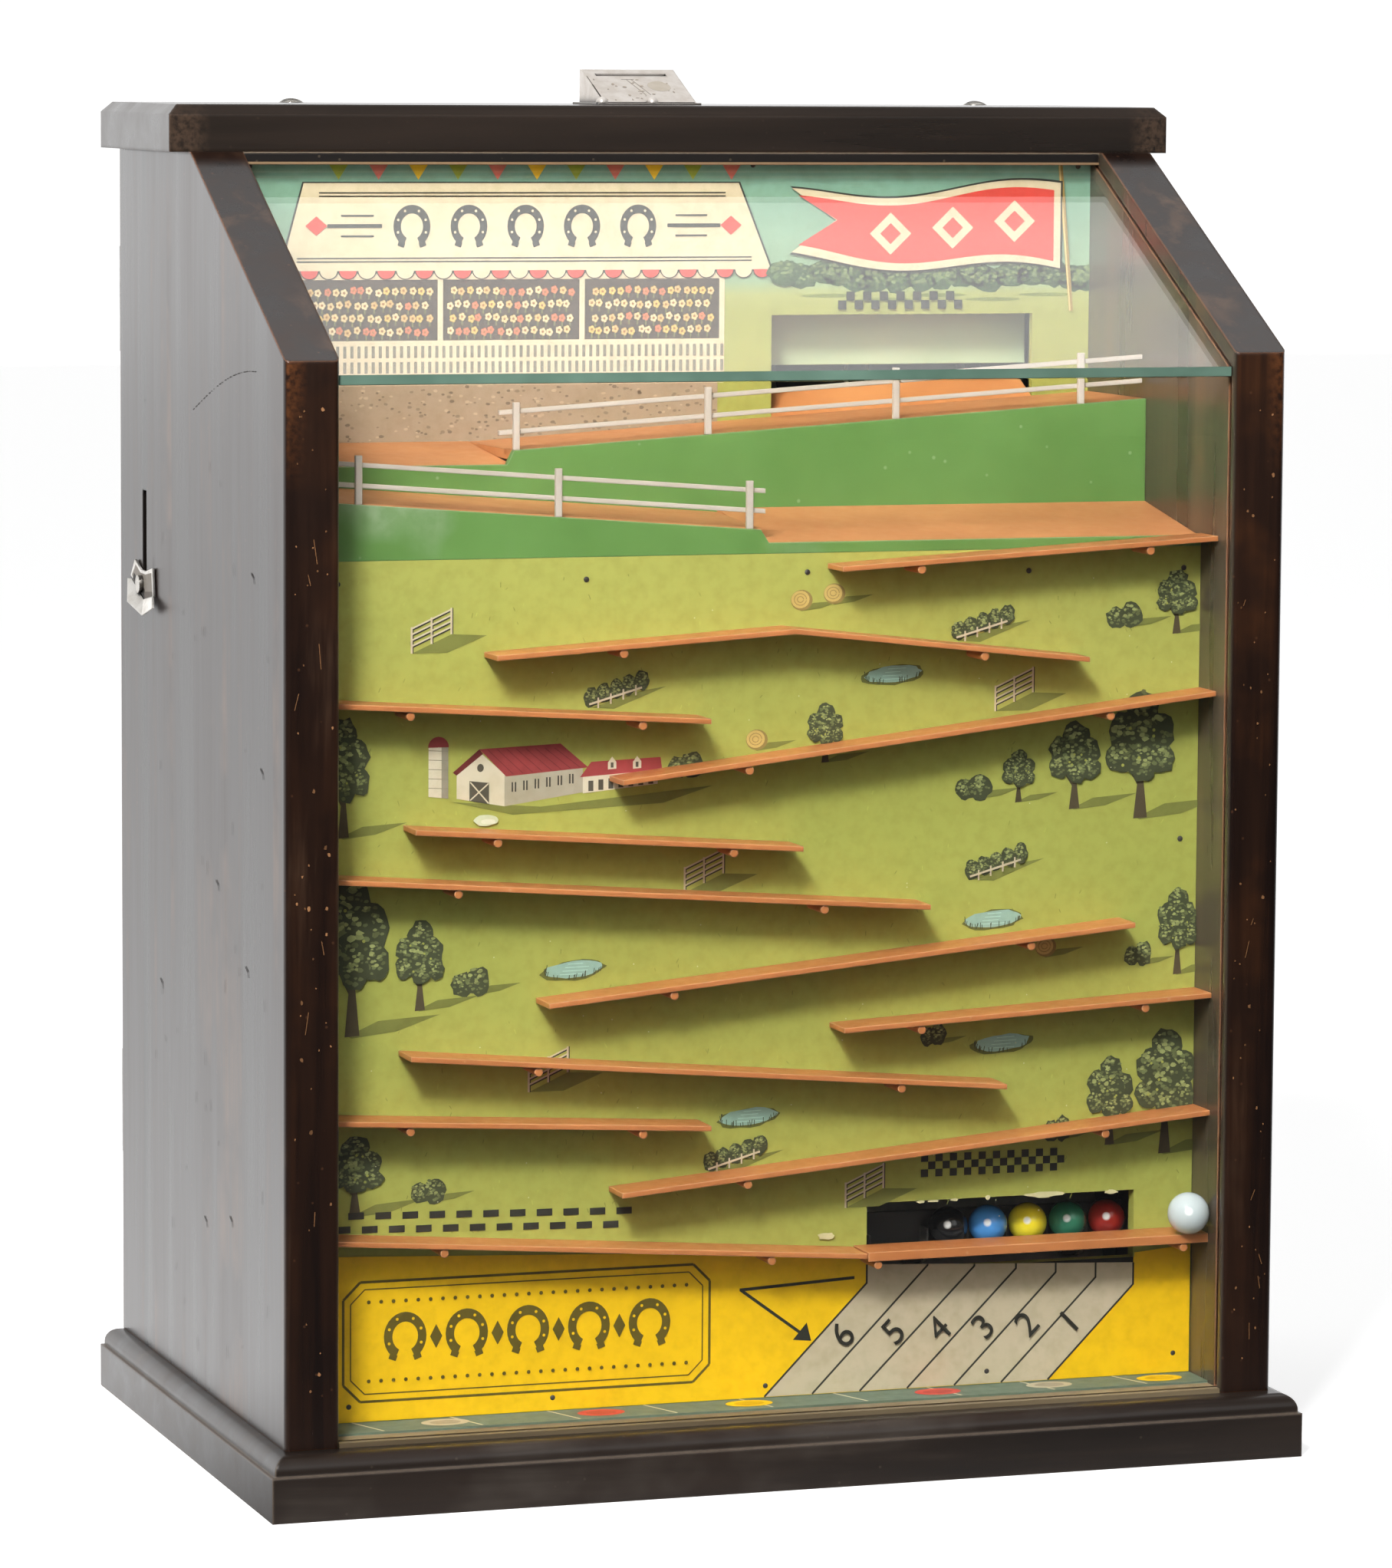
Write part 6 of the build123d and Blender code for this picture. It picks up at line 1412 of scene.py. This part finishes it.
for board, face_y, places in (("board", field_face, BOARD_NAILS), ("picture", picture_face, PICTURE_NAILS)):
    for index, (x, z) in enumerate(places):
        domed_head(f"{board}_nail_{index}", (x * MM, face_y - NAIL_STAND * MM, z * MM), (0, -1, 0),
                   NAIL_RADIUS * MM, NAIL_RISE * MM, finishes["screw_black"])
for index, (share, size) in enumerate(HEAD_SCREWS):
    spot = head_foot + Vector((HEAD_WIDTH * share, -0.5, 0.0)) * MM
    domed_head(f"coin_head_screw_{index}", spot, (0, 0, 1), size * MM, size * MM, dull_screw_finish)
print("nails:", len(BOARD_NAILS) + len(PICTURE_NAILS))

# %% [markdown]
# ## Cut edges of the leaning pane
# Light that enters a pane runs inside it and leaves through its cut edges, which look bright green.  A path
# tracer needs many bounces for that, so the front edge gets a thin strip of its own finish.  The lath
# under the cap gets a pale lip the same way.
# %% Pane edge
PANE_EDGE_HEIGHT = 3.4
LIP_HEIGHT = 1.0
STRIP_SINK = 0.02


def edge_strip(name, low, high, finish):
    """A thin bar between two corners, in metres, with softened edges."""
    bm = bmesh.new()
    bmesh.ops.create_cube(bm, size=1)
    bmesh.ops.scale(bm, verts=bm.verts, vec=high - low)
    bmesh.ops.translate(bm, verts=bm.verts, vec=(low + high) / 2)
    bmesh.ops.bevel(bm, geom=bm.edges[:], offset=min(high - low) * 0.3, segments=2, affect="EDGES")
    add_piece(name, bm, finish, "case")


wall_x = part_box("left_side")[1].x
for name, node, end_gap, stand, height, finish, slot in (
    ("leaning_pane_edge", "upper_glass", 0.2, 0.3, PANE_EDGE_HEIGHT, pane_edge_finish, "glass"),
    ("lath_lip", "glass_trim", 0.4, 0.4, LIP_HEIGHT, lip_finish, "trim_wood"),
):
    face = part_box(node)[0]
    edge_strip(name, Vector((wall_x + end_gap * MM, face.y - stand * MM, face.z + 0.1 * MM)),
               Vector((-wall_x - end_gap * MM, face.y - STRIP_SINK * MM, face.z + height * MM)), finish)
print("pane edge and lath lip set")

# %% [markdown]
# ## Dressing the frame
# Each piece of the frame takes the finish of its slot, and five of them have one of their own.
# %% Dress the pieces
OWN_FINISHES = {
    "right_side": side_finishes["right_side"], "upper_glass": leaning_pane_finish,
    "cap_screws": finishes["nickel"], "coin_head": coin_finish, "lever_grip": lever_finish,
}
slot_of = {part["node"]: part["material_slot"] for part in frame["record"]["subparts"]}
for name, piece in nodes.items():
    piece.data.materials.clear()
    piece.data.materials.append(OWN_FINISHES.get(name, finishes[slot_of[name]]))
print("dressed", len(nodes), "pieces")
